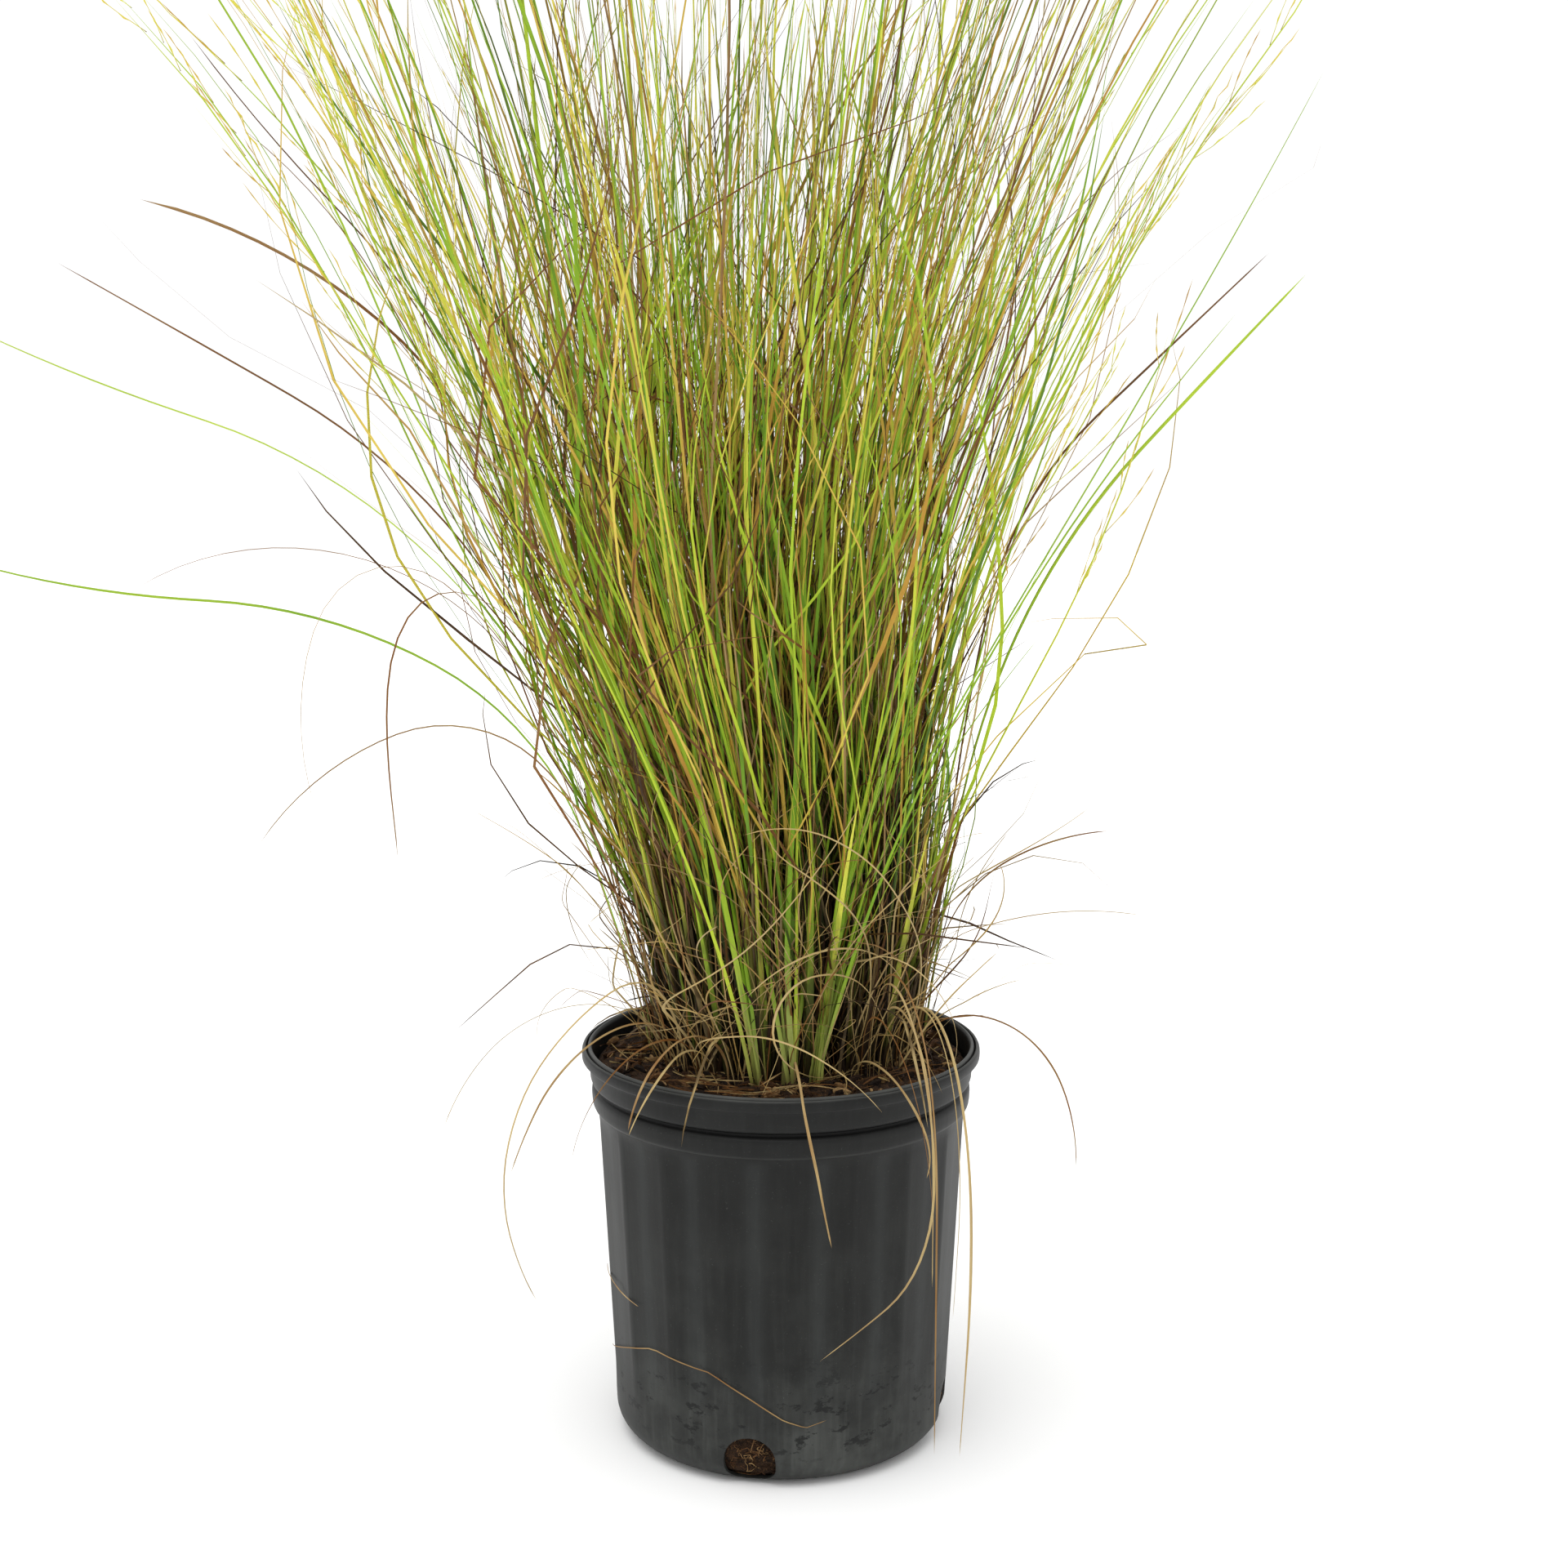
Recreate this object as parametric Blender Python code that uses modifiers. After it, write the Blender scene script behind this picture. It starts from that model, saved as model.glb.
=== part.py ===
"""A potted muhly grass: a tall clump of narrow leaves that fans out of a black plastic nursery pot.

Metres, +Z up. The origin is the middle of the pot's flat underside, and the plant is seen from the -Y side.
The clump is built the way it grows. Tufts stand on the crown in rings, and each tuft is a short foot whose
top faces are drawn out into leaves. Leaves further from the middle lean out more, so that none cross.
"""

import math
import random

import bmesh
import bpy
from mathutils import Vector

# The pot: a ten inch nursery pot, as tall as it is wide
POT_HEIGHT = 0.255
LIP_RADIUS = 0.127
LIP_HEIGHT = 0.0085
LIP_STEP = 0.0050
BAND_HEIGHT = 0.0140
GROOVE_HEIGHT = 0.0040
GROOVE_DEPTH = 0.0022
LOWER_BAND_HEIGHT = 0.0110
BAND_TAPER = 0.0006
WALL_TOP_RADIUS = 0.1175
WALL_FOOT_RADIUS = 0.1065
CORNER_RADIUS = 0.018
WALL = 0.0016
FLOOR = 0.0022
RIM_ROLL = 0.0025

# The wall's flutes: shallow hollows with a ridge between each two
FLUTES = 18
COLUMNS_PER_FLUTE = 3
FLUTE_DEPTH = 0.0020
FLUTE_FADE_TOP = 0.010
FLUTE_FADE_FROM = 0.060
FLUTE_FADE_TO = 0.030
RIDGE_TURN = math.radians(2)

# The drain holes, in the rounded corner at the pot's foot
HOLES = 4
HOLE_TURN = math.radians(-102)
HOLE_WIDTH = 0.032
HOLE_FROM = 0.0032
HOLE_TO = 0.0290
HOLE_ROUND_TOP = 0.011
HOLE_ROUND_FOOT = 0.005

# The soil, a compacted mass that fills the pot to a finger's width under the lip
SOIL_TOP = 0.247
SOIL_EDGE = 0.2415
SOIL_FLAT_RADIUS = 0.1075
SOIL_ROUGHNESS = 0.0016
GAP = 0.0003

# The crown stands a little behind the pot's axis: rings of tufts, as (name, tufts, ring radius, leaves in a
# tuft, stretches in a leaf)
CROWN_MIDDLE = Vector((0.004, 0.018))
CROWN = (
    ("centre", 1, 0.0, 4, 4),
    ("inner", 6, 0.0245, 4, 4),
    ("middle", 12, 0.0490, 4, 4),
    ("outer", 18, 0.0730, 5, 5),
)
FOOT_RADIUS = 0.0105
FOOT_TOP_RADIUS = 0.0095
FOOT_HEIGHT = 0.018
LEAF_ROOT = 0.0058
CROWN_RADIUS = 0.080

# How the clump fans out: the lean of its outermost leaves, which inner leaves share in part
LEAN_AT_CROWN = 8.0
LEAN_GAIN = 32.0
LEAN_REACH = 0.72
LEAN_POWER = 1.3
INNER_LENGTH = 0.850
OUTER_LENGTH = 0.800
SHORTEST = 0.76
LEAN_SPREAD = 0.05
HEADING_SPREAD = 4.0
SWAY = 0.035
SWAY_FROM = 0.30
SWAY_RISE = 0.30

# A leaf's section: two edges and a keel
LEAF_WIDTH = 0.0058
LEAF_THICKNESS = 0.0024
LEAF_TIP_SHARE = 0.60

# Leaves that stand away from the clump: name, where on the crown's edge it is rooted (degrees, 0 is +X and
# -90 is the front), its length, its lean from upright and its heading at even stops along it, and its colour
SINGLE_LEAVES = (
    ("long_leaf_left_1", 172, 0.675, (14, 18, 44, 72, 64), (186, 184, 176), "fresh"),
    ("long_leaf_left_2", 188, 0.575, (14, 20, 60, 86, 72), (180, 190, 192), "fresh"),
    ("long_leaf_left_3", 182, 0.520, (10, 14, 36, 78, 122), (188, 187, 186), "dry"),
    ("long_leaf_left_4", 152, 0.665, (16, 18, 15, 50, 77), (176, 175, 180), "dry"),
    ("long_leaf_left_5", 161, 0.650, (12, 18, 36, 60, 60), (172, 174, 186), "dry"),
    ("hanging_leaf_left_1", 197, 0.545, (16, 18, 18, 50, 156, 204), (184, 204, 245), "dry"),
    ("hanging_leaf_left_2", 206, 0.550, (16, 14, 14, 66, 168, 222), (196, 219, 278), "dry"),
    ("hanging_leaf_left_3", 216, 0.410, (14, 18, 40, 108, 144), (196, 202, 206), "dry"),
    ("long_leaf_right_1", 12, 0.560, (10, 6, 12, 46, 46), (0, -4, -6), "dry"),
    ("long_leaf_right_2", 350, 0.545, (8, 8, 24, 42, 43), (-4, -10, -18), "fresh"),
    ("low_leaf_right", 340, 0.212, (8, 16, 56, 82), (334, 335, 340), "dry"),
    ("rim_leaf_front", 273, 0.172, (40, 80, 106, 152, 168, 168), (268, 278, 356), "dry"),
    ("rim_leaf_right_1", 305, 0.440, (12, 56, 104, 152, 202, 228, 228), (275, 283, 319), "dry"),
    ("rim_leaf_right_2", 322, 0.400, (16, 84, 140, 176, 196, 204), (285, 280, 271), "dry"),
    ("rim_leaf_left", 224, 0.340, (14, 44, 106, 132, 162, 200, 220), (250, 222, 250), "dry"),
    ("rim_leaf_front_left", 246, 0.128, (14, 60, 102, 136, 164), (232, 233, 230), "dry"),
    ("dry_straw_1", 234, 0.290, (30, 66, 60, 42, 36), (232, 272, 369, 392), "dry"),
    ("dry_straw_2", 327, 0.265, (20, 34, 42, 40, 64, 106), (297, 263, 211, 192), "dry"),
)
SINGLE_ROOT_RADIUS = 0.0885
SINGLE_FOOT_RADIUS = 0.0030
SINGLE_FOOT_HEIGHT = 0.006
SINGLE_STRETCHES = 10
SINGLE_WIDTH = 0.0034
SINGLE_THICKNESS = 0.0016

COLOURS = {
    "black plastic": ((0.030, 0.034, 0.034), 0.55),
    "soil": ((0.070, 0.042, 0.024), 0.95),
    "fresh": ((0.180, 0.260, 0.050), 0.50),
    "mixed": ((0.220, 0.240, 0.060), 0.55),
    "dry": ((0.330, 0.220, 0.090), 0.60),
}
SEED = 11


def material(name):
    """One Principled material with the finish's colour and roughness."""
    if name in bpy.data.materials:
        return bpy.data.materials[name]
    colour, roughness = COLOURS[name]
    made = bpy.data.materials.new(name)
    made.use_nodes = True
    shader = made.node_tree.nodes["Principled BSDF"]
    shader.inputs["Base Color"].default_value = (*colour, 1.0)
    shader.inputs["Roughness"].default_value = roughness
    shader.inputs["Metallic"].default_value = 0.0
    made.diffuse_color = (*colour, 1.0)
    return made


def add_object(name, mesh, collection, finish=None):
    """Link a mesh to a collection as one named object."""
    made = bpy.data.objects.new(name, mesh)
    collection.objects.link(made)
    if finish:
        mesh.materials.append(material(finish))
    return made


def wall_radius(z):
    """The wall's outer radius at a ridge: a straight taper from the bands to the foot."""
    top = POT_HEIGHT - LIP_HEIGHT - BAND_HEIGHT - GROOVE_HEIGHT - LOWER_BAND_HEIGHT
    return WALL_FOOT_RADIUS + (WALL_TOP_RADIUS - WALL_FOOT_RADIUS) * z / top


def inner_radius(z):
    """The smooth inner wall, which stays a wall's thickness inside the flutes' hollows."""
    return wall_radius(z) - FLUTE_DEPTH - WALL


def pot_outline():
    """Half the pot's section, from the middle of the floor up the inside and down the outside."""
    lip_foot = POT_HEIGHT - LIP_HEIGHT
    band_foot = lip_foot - BAND_HEIGHT
    lower_band_top = band_foot - GROOVE_HEIGHT
    lower_band_foot = lower_band_top - LOWER_BAND_HEIGHT
    band = LIP_RADIUS - LIP_STEP
    wall_top = lower_band_foot - FLOOR
    inside = [
        (0.0, FLOOR),
        (wall_radius(0) - CORNER_RADIUS, FLOOR),
        (inner_radius(0) - WALL, CORNER_RADIUS * 0.42),
        (inner_radius(CORNER_RADIUS), CORNER_RADIUS),
        (inner_radius(wall_top), wall_top),
        (band - 2 * WALL, lower_band_foot + WALL),
        (LIP_RADIUS - LIP_STEP - WALL, POT_HEIGHT - RIM_ROLL),
    ]
    outside = [
        (LIP_RADIUS - RIM_ROLL, POT_HEIGHT),
        (LIP_RADIUS, POT_HEIGHT - RIM_ROLL),
        (LIP_RADIUS, lip_foot),
        (band, lip_foot - WALL / 2),
        (band - BAND_TAPER, band_foot),
        (band - BAND_TAPER - GROOVE_DEPTH, (band_foot + lower_band_top) / 2),
        (band - 2 * BAND_TAPER, lower_band_top),
        (band - 3 * BAND_TAPER, lower_band_foot),
        (wall_radius(wall_top), wall_top),
        (wall_radius(wall_top - FLUTE_FADE_TOP), wall_top - FLUTE_FADE_TOP),
        (wall_radius(FLUTE_FADE_FROM), FLUTE_FADE_FROM),
        (wall_radius(FLUTE_FADE_TO), FLUTE_FADE_TO),
    ]
    corner_middle = wall_radius(CORNER_RADIUS) - CORNER_RADIUS
    for angle in (0, 30, 60, 90):
        turn = math.radians(angle)
        outside.append((corner_middle + CORNER_RADIUS * math.cos(turn), CORNER_RADIUS * (1 - math.sin(turn))))
    return inside + outside + [(0.0, 0.0)]


def turned(name, outline):
    """Turn an outline about the axis with a Screw modifier and return the resulting mesh."""
    profile = bpy.data.meshes.new(name + " outline")
    edges = [(i, i + 1) for i in range(len(outline) - 1)]
    profile.from_pydata([(r, 0.0, z) for r, z in outline], edges, [])
    spindle = bpy.data.objects.new(name + " outline", profile)
    bpy.context.scene.collection.objects.link(spindle)
    screw = spindle.modifiers.new("Screw", "SCREW")
    screw.steps = screw.render_steps = FLUTES * COLUMNS_PER_FLUTE
    screw.use_merge_vertices = True
    screw.merge_threshold = 0.00005
    bpy.context.view_layer.update()
    graph = bpy.context.evaluated_depsgraph_get()
    mesh = bpy.data.meshes.new_from_object(spindle.evaluated_get(graph))
    mesh.name = name
    bpy.data.objects.remove(spindle)
    return mesh


def flute_share(z):
    """How deep the flutes are at a height, from 0 under the bands and at the foot to 1 between."""
    wall_top = pot_wall_top()
    from_top = (wall_top - z) / FLUTE_FADE_TOP
    from_foot = (z - FLUTE_FADE_TO) / (FLUTE_FADE_FROM - FLUTE_FADE_TO)
    return max(0.0, min(1.0, from_top, from_foot))


def pot_wall_top():
    """The height where the wall starts, just under the lower band."""
    return POT_HEIGHT - LIP_HEIGHT - BAND_HEIGHT - GROOVE_HEIGHT - LOWER_BAND_HEIGHT - FLOOR


def press_flutes(mesh):
    """Draw the outer wall in between the ridges, which stand at every third column."""
    step = 2 * math.pi / FLUTES
    for vertex in mesh.vertices:
        x, y, z = vertex.co
        radius = math.hypot(x, y)
        if radius < wall_radius(z) - WALL / 2 or z > pot_wall_top():
            continue
        across = (math.atan2(y, x) / step) % 1.0
        hollow = 0.0 if min(across, 1 - across) < 0.1 else 1.0
        drawn = 1 - hollow * FLUTE_DEPTH * flute_share(z) / radius
        vertex.co = (x * drawn, y * drawn, z)


def hole_cutter(index, cutters):
    """A round-topped block that stands through the pot's corner, its long side outwards."""
    bm = bmesh.new()
    bmesh.ops.create_cube(bm, size=1.0)
    bmesh.ops.scale(bm, vec=(2 * CORNER_RADIUS, HOLE_WIDTH, HOLE_TO - HOLE_FROM), verts=bm.verts)
    for at_top, rounding in ((True, HOLE_ROUND_TOP), (False, HOLE_ROUND_FOOT)):
        along = [e for e in bm.edges if abs((e.verts[0].co - e.verts[1].co).x) > CORNER_RADIUS]
        corner = [e for e in along if (e.verts[0].co.z > HOLE_WIDTH / 4) == at_top]
        bmesh.ops.bevel(bm, geom=corner, offset=rounding, segments=2, profile=0.5, affect="EDGES")
    mesh = bpy.data.meshes.new("hole cutter")
    bm.to_mesh(mesh)
    bm.free()
    cutter = add_object(f"hole cutter {index + 1}", mesh, cutters)
    turn = HOLE_TURN + index * 2 * math.pi / HOLES
    reach = WALL_FOOT_RADIUS
    cutter.location = (reach * math.cos(turn), reach * math.sin(turn), (HOLE_FROM + HOLE_TO) / 2)
    cutter.rotation_euler.z = turn
    cutter.hide_render = True
    cutter.display_type = "WIRE"
    return cutter


def make_pot(parts, cutters):
    """The pot: a turned shell with its flutes pressed in and its drain holes cut."""
    mesh = turned("pot", pot_outline())
    press_flutes(mesh)
    mesh.shade_smooth()
    mesh.set_sharp_from_angle(angle=math.radians(30))
    pot = add_object("pot", mesh, parts, "black plastic")
    pot.rotation_euler.z = RIDGE_TURN
    for index in range(HOLES):
        cut = pot.modifiers.new(f"Drain hole {index + 1}", "BOOLEAN")
        cut.operation = "DIFFERENCE"
        cut.solver = "EXACT"
        cut.object = hole_cutter(index, cutters)


def make_soil(parts):
    """The soil: a plug that follows the pot's inside, flat under the clump and lower at the wall."""
    shoulder = LIP_RADIUS - LIP_STEP - 2 * WALL - 2 * GAP
    outline = [
        (0.0, SOIL_TOP),
        (SOIL_FLAT_RADIUS, SOIL_TOP),
        (shoulder, SOIL_EDGE),
        (shoulder, pot_wall_top() + FLOOR + WALL),
        (inner_radius(pot_wall_top()) - 2 * GAP, pot_wall_top()),
        (inner_radius(CORNER_RADIUS) - GAP, CORNER_RADIUS + GAP),
        (wall_radius(0) - CORNER_RADIUS - GAP, FLOOR + 2 * GAP),
        (0.0, FLOOR + 2 * GAP),
    ]
    mesh = turned("soil", outline)
    rough = random.Random(SEED)
    for vertex in mesh.vertices:
        if abs(vertex.co.z - SOIL_EDGE) < GAP:
            vertex.co.z += rough.uniform(-SOIL_ROUGHNESS, SOIL_ROUGHNESS)
    soil = add_object("soil", mesh, parts, "soil")
    soil.rotation_euler.z = RIDGE_TURN


def between(stops, share):
    """Read a value at a share of the way along evenly spaced stops."""
    place = share * (len(stops) - 1)
    index = min(int(place), len(stops) - 2)
    return stops[index] + (stops[index + 1] - stops[index]) * (place - index)


def walk(root, length, leans, headings, stretches):
    """A leaf's middle line: from its root, each stretch leans and heads as its stops say."""
    fine = 8
    points = [Vector(root)]
    place = Vector(root)
    for step in range(stretches * fine):
        share = (step + 0.5) / (stretches * fine)
        lean = math.radians(between(leans, share))
        heading = math.radians(between(headings, share))
        way = Vector((math.sin(lean) * math.cos(heading), math.sin(lean) * math.sin(heading), math.cos(lean)))
        place = place + way * (length / stretches / fine)
        if (step + 1) % fine == 0:
            points.append(place.copy())
    return points


def sway(point):
    """The whole clump leans a little to the left as it rises."""
    rise = max(0.0, min(1.0, (point.z - SWAY_FROM) / SWAY_RISE))
    return point - Vector((SWAY * rise * rise * (3 - 2 * rise), 0.0, 0.0))


def draw_leaf(bm, face, points, width, thickness, facing):
    """Draw one three-sided face out along a line of points into a leaf that ends in a point."""
    foot = face.calc_center_median()
    facing = facing.normalized()
    last = {}
    for vertex in face.verts:
        offset = vertex.co - foot
        role = "keel" if offset.dot(facing) < -offset.length / 2 else None
        if role is None:
            role = "right" if offset.dot(facing.cross(Vector((0, 0, 1)))) > 0 else "left"
        last[role] = vertex.co.copy()
    for index in range(1, len(points)):
        ahead = points[min(index + 1, len(points) - 1)] - points[index - 1]
        along = ahead.normalized()
        facing = (facing - along * facing.dot(along)).normalized()
        side = facing.cross(along)
        share = index / (len(points) - 1)
        taper = 1 - (1 - LEAF_TIP_SHARE) * share
        face = bmesh.ops.extrude_discrete_faces(bm, faces=[face])["faces"][0]
        corners = {role: min(face.verts, key=lambda v, at=at: (v.co - at).length) for role, at in last.items()}
        if index == len(points) - 1:
            bmesh.ops.pointmerge(bm, verts=list(face.verts), merge_co=points[index])
            return
        half = side * (width * taper / 2)
        rise = facing * (thickness * taper / 2)
        for role, at in (("right", half + rise), ("left", rise - half), ("keel", -rise)):
            corners[role].co = points[index] + at
            last[role] = corners[role].co.copy()


def leaf_lean(share_out, length, stops=6):
    """Lean stops of a leaf in the clump, in degrees, by how far out on the crown it is rooted."""
    leans = []
    for stop in range(stops):
        along = length * stop / (stops - 1)
        full = LEAN_AT_CROWN + LEAN_GAIN * (along / LEAN_REACH) ** LEAN_POWER
        leans.append(share_out * full)
    return leans


def make_tuft(name, spot, leaves, stretches, parts, chance):
    """One tuft: a foot on the soil, and a leaf drawn out of each sector of its top."""
    bm = bmesh.new()
    bmesh.ops.create_cone(
        bm, cap_ends=True, segments=leaves, radius1=FOOT_RADIUS, radius2=FOOT_TOP_RADIUS, depth=FOOT_HEIGHT
    )
    outwards = math.atan2(spot.y - CROWN_MIDDLE.y, spot.x - CROWN_MIDDLE.x)
    turn = Vector((math.cos(outwards), math.sin(outwards)))
    lift = SOIL_TOP + GAP + FOOT_HEIGHT / 2
    for vertex in bm.verts:
        x, y, z = vertex.co
        vertex.co = (spot.x + x * turn.x - y * turn.y, spot.y + x * turn.y + y * turn.x, z + lift)
    top = max(bm.faces, key=lambda f: f.calc_center_median().z)
    sectors = bmesh.ops.poke(bm, faces=[top])["faces"]
    bmesh.ops.inset_individual(bm, faces=sectors, thickness=FOOT_RADIUS * 0.13)
    for face in sectors:
        foot = face.calc_center_median()
        facing = Vector((foot.x - spot.x, foot.y - spot.y, 0.0)).normalized()
        root = Vector((spot.x, spot.y, foot.z)) + facing * LEAF_ROOT
        from_middle = root.xy - CROWN_MIDDLE
        share_out = from_middle.length / CROWN_RADIUS
        full = INNER_LENGTH + (OUTER_LENGTH - INNER_LENGTH) * share_out
        length = full * chance.uniform(SHORTEST, 1.0)
        leans = leaf_lean(share_out * (1 + chance.uniform(-LEAN_SPREAD, LEAN_SPREAD)), length)
        heading = math.degrees(math.atan2(from_middle.y, from_middle.x))
        headings = (heading, heading + chance.uniform(-HEADING_SPREAD, HEADING_SPREAD))
        points = [sway(p) for p in walk(root, length, leans, headings, stretches)]
        draw_leaf(bm, face, points, LEAF_WIDTH, LEAF_THICKNESS, facing)
    finish_leaf_mesh(name, bm, parts, "mixed")


def make_single_leaf(name, root_angle, length, leans, headings, finish, parts):
    """One leaf that stands away from the clump, on a small foot of its own."""
    bm = bmesh.new()
    bmesh.ops.create_cone(
        bm, cap_ends=True, segments=3, radius1=SINGLE_FOOT_RADIUS, radius2=SINGLE_FOOT_RADIUS * 0.8,
        depth=SINGLE_FOOT_HEIGHT,
    )
    turn = math.radians(root_angle)
    facing = Vector((math.cos(turn), math.sin(turn), 0.0))
    side = Vector((-facing.y, facing.x, 0.0))
    stand = Vector((*CROWN_MIDDLE, SOIL_TOP + GAP + SINGLE_FOOT_HEIGHT / 2))
    for vertex in bm.verts:
        x, y, z = vertex.co
        vertex.co = stand + facing * (SINGLE_ROOT_RADIUS - x) - side * y + Vector((0.0, 0.0, z))
    top = max(bm.faces, key=lambda f: f.calc_center_median().z)
    points = walk(top.calc_center_median(), length, leans, headings, SINGLE_STRETCHES)
    draw_leaf(bm, top, points, SINGLE_WIDTH, SINGLE_THICKNESS, facing)
    finish_leaf_mesh(name, bm, parts, finish)


def finish_leaf_mesh(name, bm, parts, finish):
    """Write a tuft's or a leaf's shape to a mesh and make it an object."""
    mesh = bpy.data.meshes.new(name)
    bm.to_mesh(mesh)
    bm.free()
    mesh.shade_smooth()
    mesh.set_sharp_from_angle(angle=math.radians(35))
    add_object(name, mesh, parts, finish)


def make_clump(parts):
    """Rings of tufts on the crown, each ring turned so that its tufts stand between the next ring's."""
    chance = random.Random(SEED)
    for name, count, radius, leaves, stretches in CROWN:
        for index in range(count):
            turn = 2 * math.pi * (index + 0.5) / count - math.pi / 2
            spot = Vector((radius * math.cos(turn), radius * math.sin(turn)))
            tuft = f"tuft_{name}_{index + 1}" if count > 1 else f"tuft_{name}"
            make_tuft(tuft, CROWN_MIDDLE + spot, leaves, stretches, parts, chance)


def main():
    for old in list(bpy.data.objects):
        bpy.data.objects.remove(old)
    parts = bpy.data.collections.new("Potted muhly grass")
    cutters = bpy.data.collections.new("Cutters")
    for collection in (parts, cutters):
        bpy.context.scene.collection.children.link(collection)
    make_pot(parts, cutters)
    make_soil(parts)
    make_clump(parts)
    for name, root_angle, length, leans, headings, finish in SINGLE_LEAVES:
        make_single_leaf(name, root_angle, length, leans, headings, finish, parts)


main()
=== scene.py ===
# %% [markdown]
# # A potted muhly grass
# A tall clump of narrow leaves fans out of a black plastic nursery pot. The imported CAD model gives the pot, the
# soil, 37 tufts and 18 single leaves as plain solids. This lesson dresses each of them: the pot gets its moulded
# detail and dust, the soil its bark and litter, and each tuft the many fine leaves, stems and dead straws of the
# living plant. Everything is in metres, with +Z up, and the plant is seen from the -Y side.

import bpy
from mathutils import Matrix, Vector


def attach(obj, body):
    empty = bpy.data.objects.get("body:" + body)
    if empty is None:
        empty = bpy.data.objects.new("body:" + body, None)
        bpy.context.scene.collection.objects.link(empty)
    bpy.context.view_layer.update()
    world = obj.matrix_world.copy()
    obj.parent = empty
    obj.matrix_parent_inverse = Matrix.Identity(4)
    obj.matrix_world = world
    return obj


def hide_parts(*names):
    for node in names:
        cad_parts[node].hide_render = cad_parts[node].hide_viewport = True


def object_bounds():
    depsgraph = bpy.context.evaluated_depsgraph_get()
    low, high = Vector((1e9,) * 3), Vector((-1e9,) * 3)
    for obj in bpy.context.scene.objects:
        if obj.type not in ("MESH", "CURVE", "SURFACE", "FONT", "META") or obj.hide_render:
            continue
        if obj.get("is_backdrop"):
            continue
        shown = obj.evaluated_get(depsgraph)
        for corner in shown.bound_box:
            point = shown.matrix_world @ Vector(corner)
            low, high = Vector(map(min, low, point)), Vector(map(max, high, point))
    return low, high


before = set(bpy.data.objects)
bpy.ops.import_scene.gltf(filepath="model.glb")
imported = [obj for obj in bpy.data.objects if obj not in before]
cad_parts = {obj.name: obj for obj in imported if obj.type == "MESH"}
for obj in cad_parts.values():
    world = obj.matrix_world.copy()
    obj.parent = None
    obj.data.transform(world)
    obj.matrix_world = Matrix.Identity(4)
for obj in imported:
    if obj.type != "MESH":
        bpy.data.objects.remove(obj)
cad_low, cad_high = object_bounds()
print("The CAD model spans", [round(v, 3) for v in cad_low], "to", [round(v, 3) for v in cad_high])

# %% Modules
import math
import random

import bmesh
import bpy
import numpy as np
from mathutils import Vector

# %% [markdown]
# ## The camera
# The photograph looks slightly down on the pot from about a metre and a half, with a short telephoto lens, so the
# rim shows as a shallow ellipse and the tips of the leaves run out of the top of the picture.

# %% Camera
CAMERA_PLACE = (0.002, -1.455, 0.683)
CAMERA_PITCH = math.radians(10.2)
LENS_MM = 54.1

camera_data = bpy.data.cameras.new("camera")
camera_data.lens = LENS_MM
camera_data.sensor_width = 36.0
camera = bpy.data.objects.new("camera", camera_data)
camera.location = CAMERA_PLACE
camera.rotation_euler = (math.pi / 2 - CAMERA_PITCH, 0.0, 0.0)
bpy.context.scene.collection.objects.link(camera)
bpy.context.scene.camera = camera
print("The camera stands", round(Vector(CAMERA_PLACE).length, 2), "m from the pot's foot")

# %% [markdown]
# ## Shader maths
# A finish is a small graph of nodes. Writing such a graph node by node hides the idea, so one class wraps a socket
# and lets Python's own operators add the Math nodes: `1 - mask` or `dust * 0.4` then reads as it is meant. A second
# class holds one material and has a single method that adds any other node.

# %% A socket that can be calculated with
class Wire:
    """The output of a node. Arithmetic on it adds Math nodes to the same material."""

    def __init__(self, finish, socket):
        self.finish = finish
        self.socket = socket

    def maths(self, operation, first, second=0.0):
        return self.finish.node("ShaderNodeMath", {"operation": operation}, {0: first, 1: second})

    def __add__(self, other):
        return self.maths("ADD", self, other)

    def __sub__(self, other):
        return self.maths("SUBTRACT", self, other)

    def __rsub__(self, other):
        return self.maths("SUBTRACT", other, self)

    def __mul__(self, other):
        return self.maths("MULTIPLY", self, other)

    def __pow__(self, other):
        return self.maths("POWER", self, other)

    __radd__ = __add__
    __rmul__ = __mul__

    def fade(self, low, high, start=0.0, end=1.0):
        """Rise smoothly from start to end while the value goes from low to high."""
        settings = {"interpolation_type": "SMOOTHSTEP", "clamp": True}
        return self.finish.node("ShaderNodeMapRange", settings, {0: self, 1: low, 2: high, 3: start, 4: end})

    def sine(self):
        return self.maths("SINE", self)


# %% One material and its nodes
def linear(red, green, blue):
    """A colour as a painter names it, 0 to 255, in the linear values that a shader takes."""
    shares = (red / 255, green / 255, blue / 255)
    return tuple(s / 12.92 if s <= 0.04045 else ((s + 0.055) / 1.055) ** 2.4 for s in shares) + (1.0,)


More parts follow.
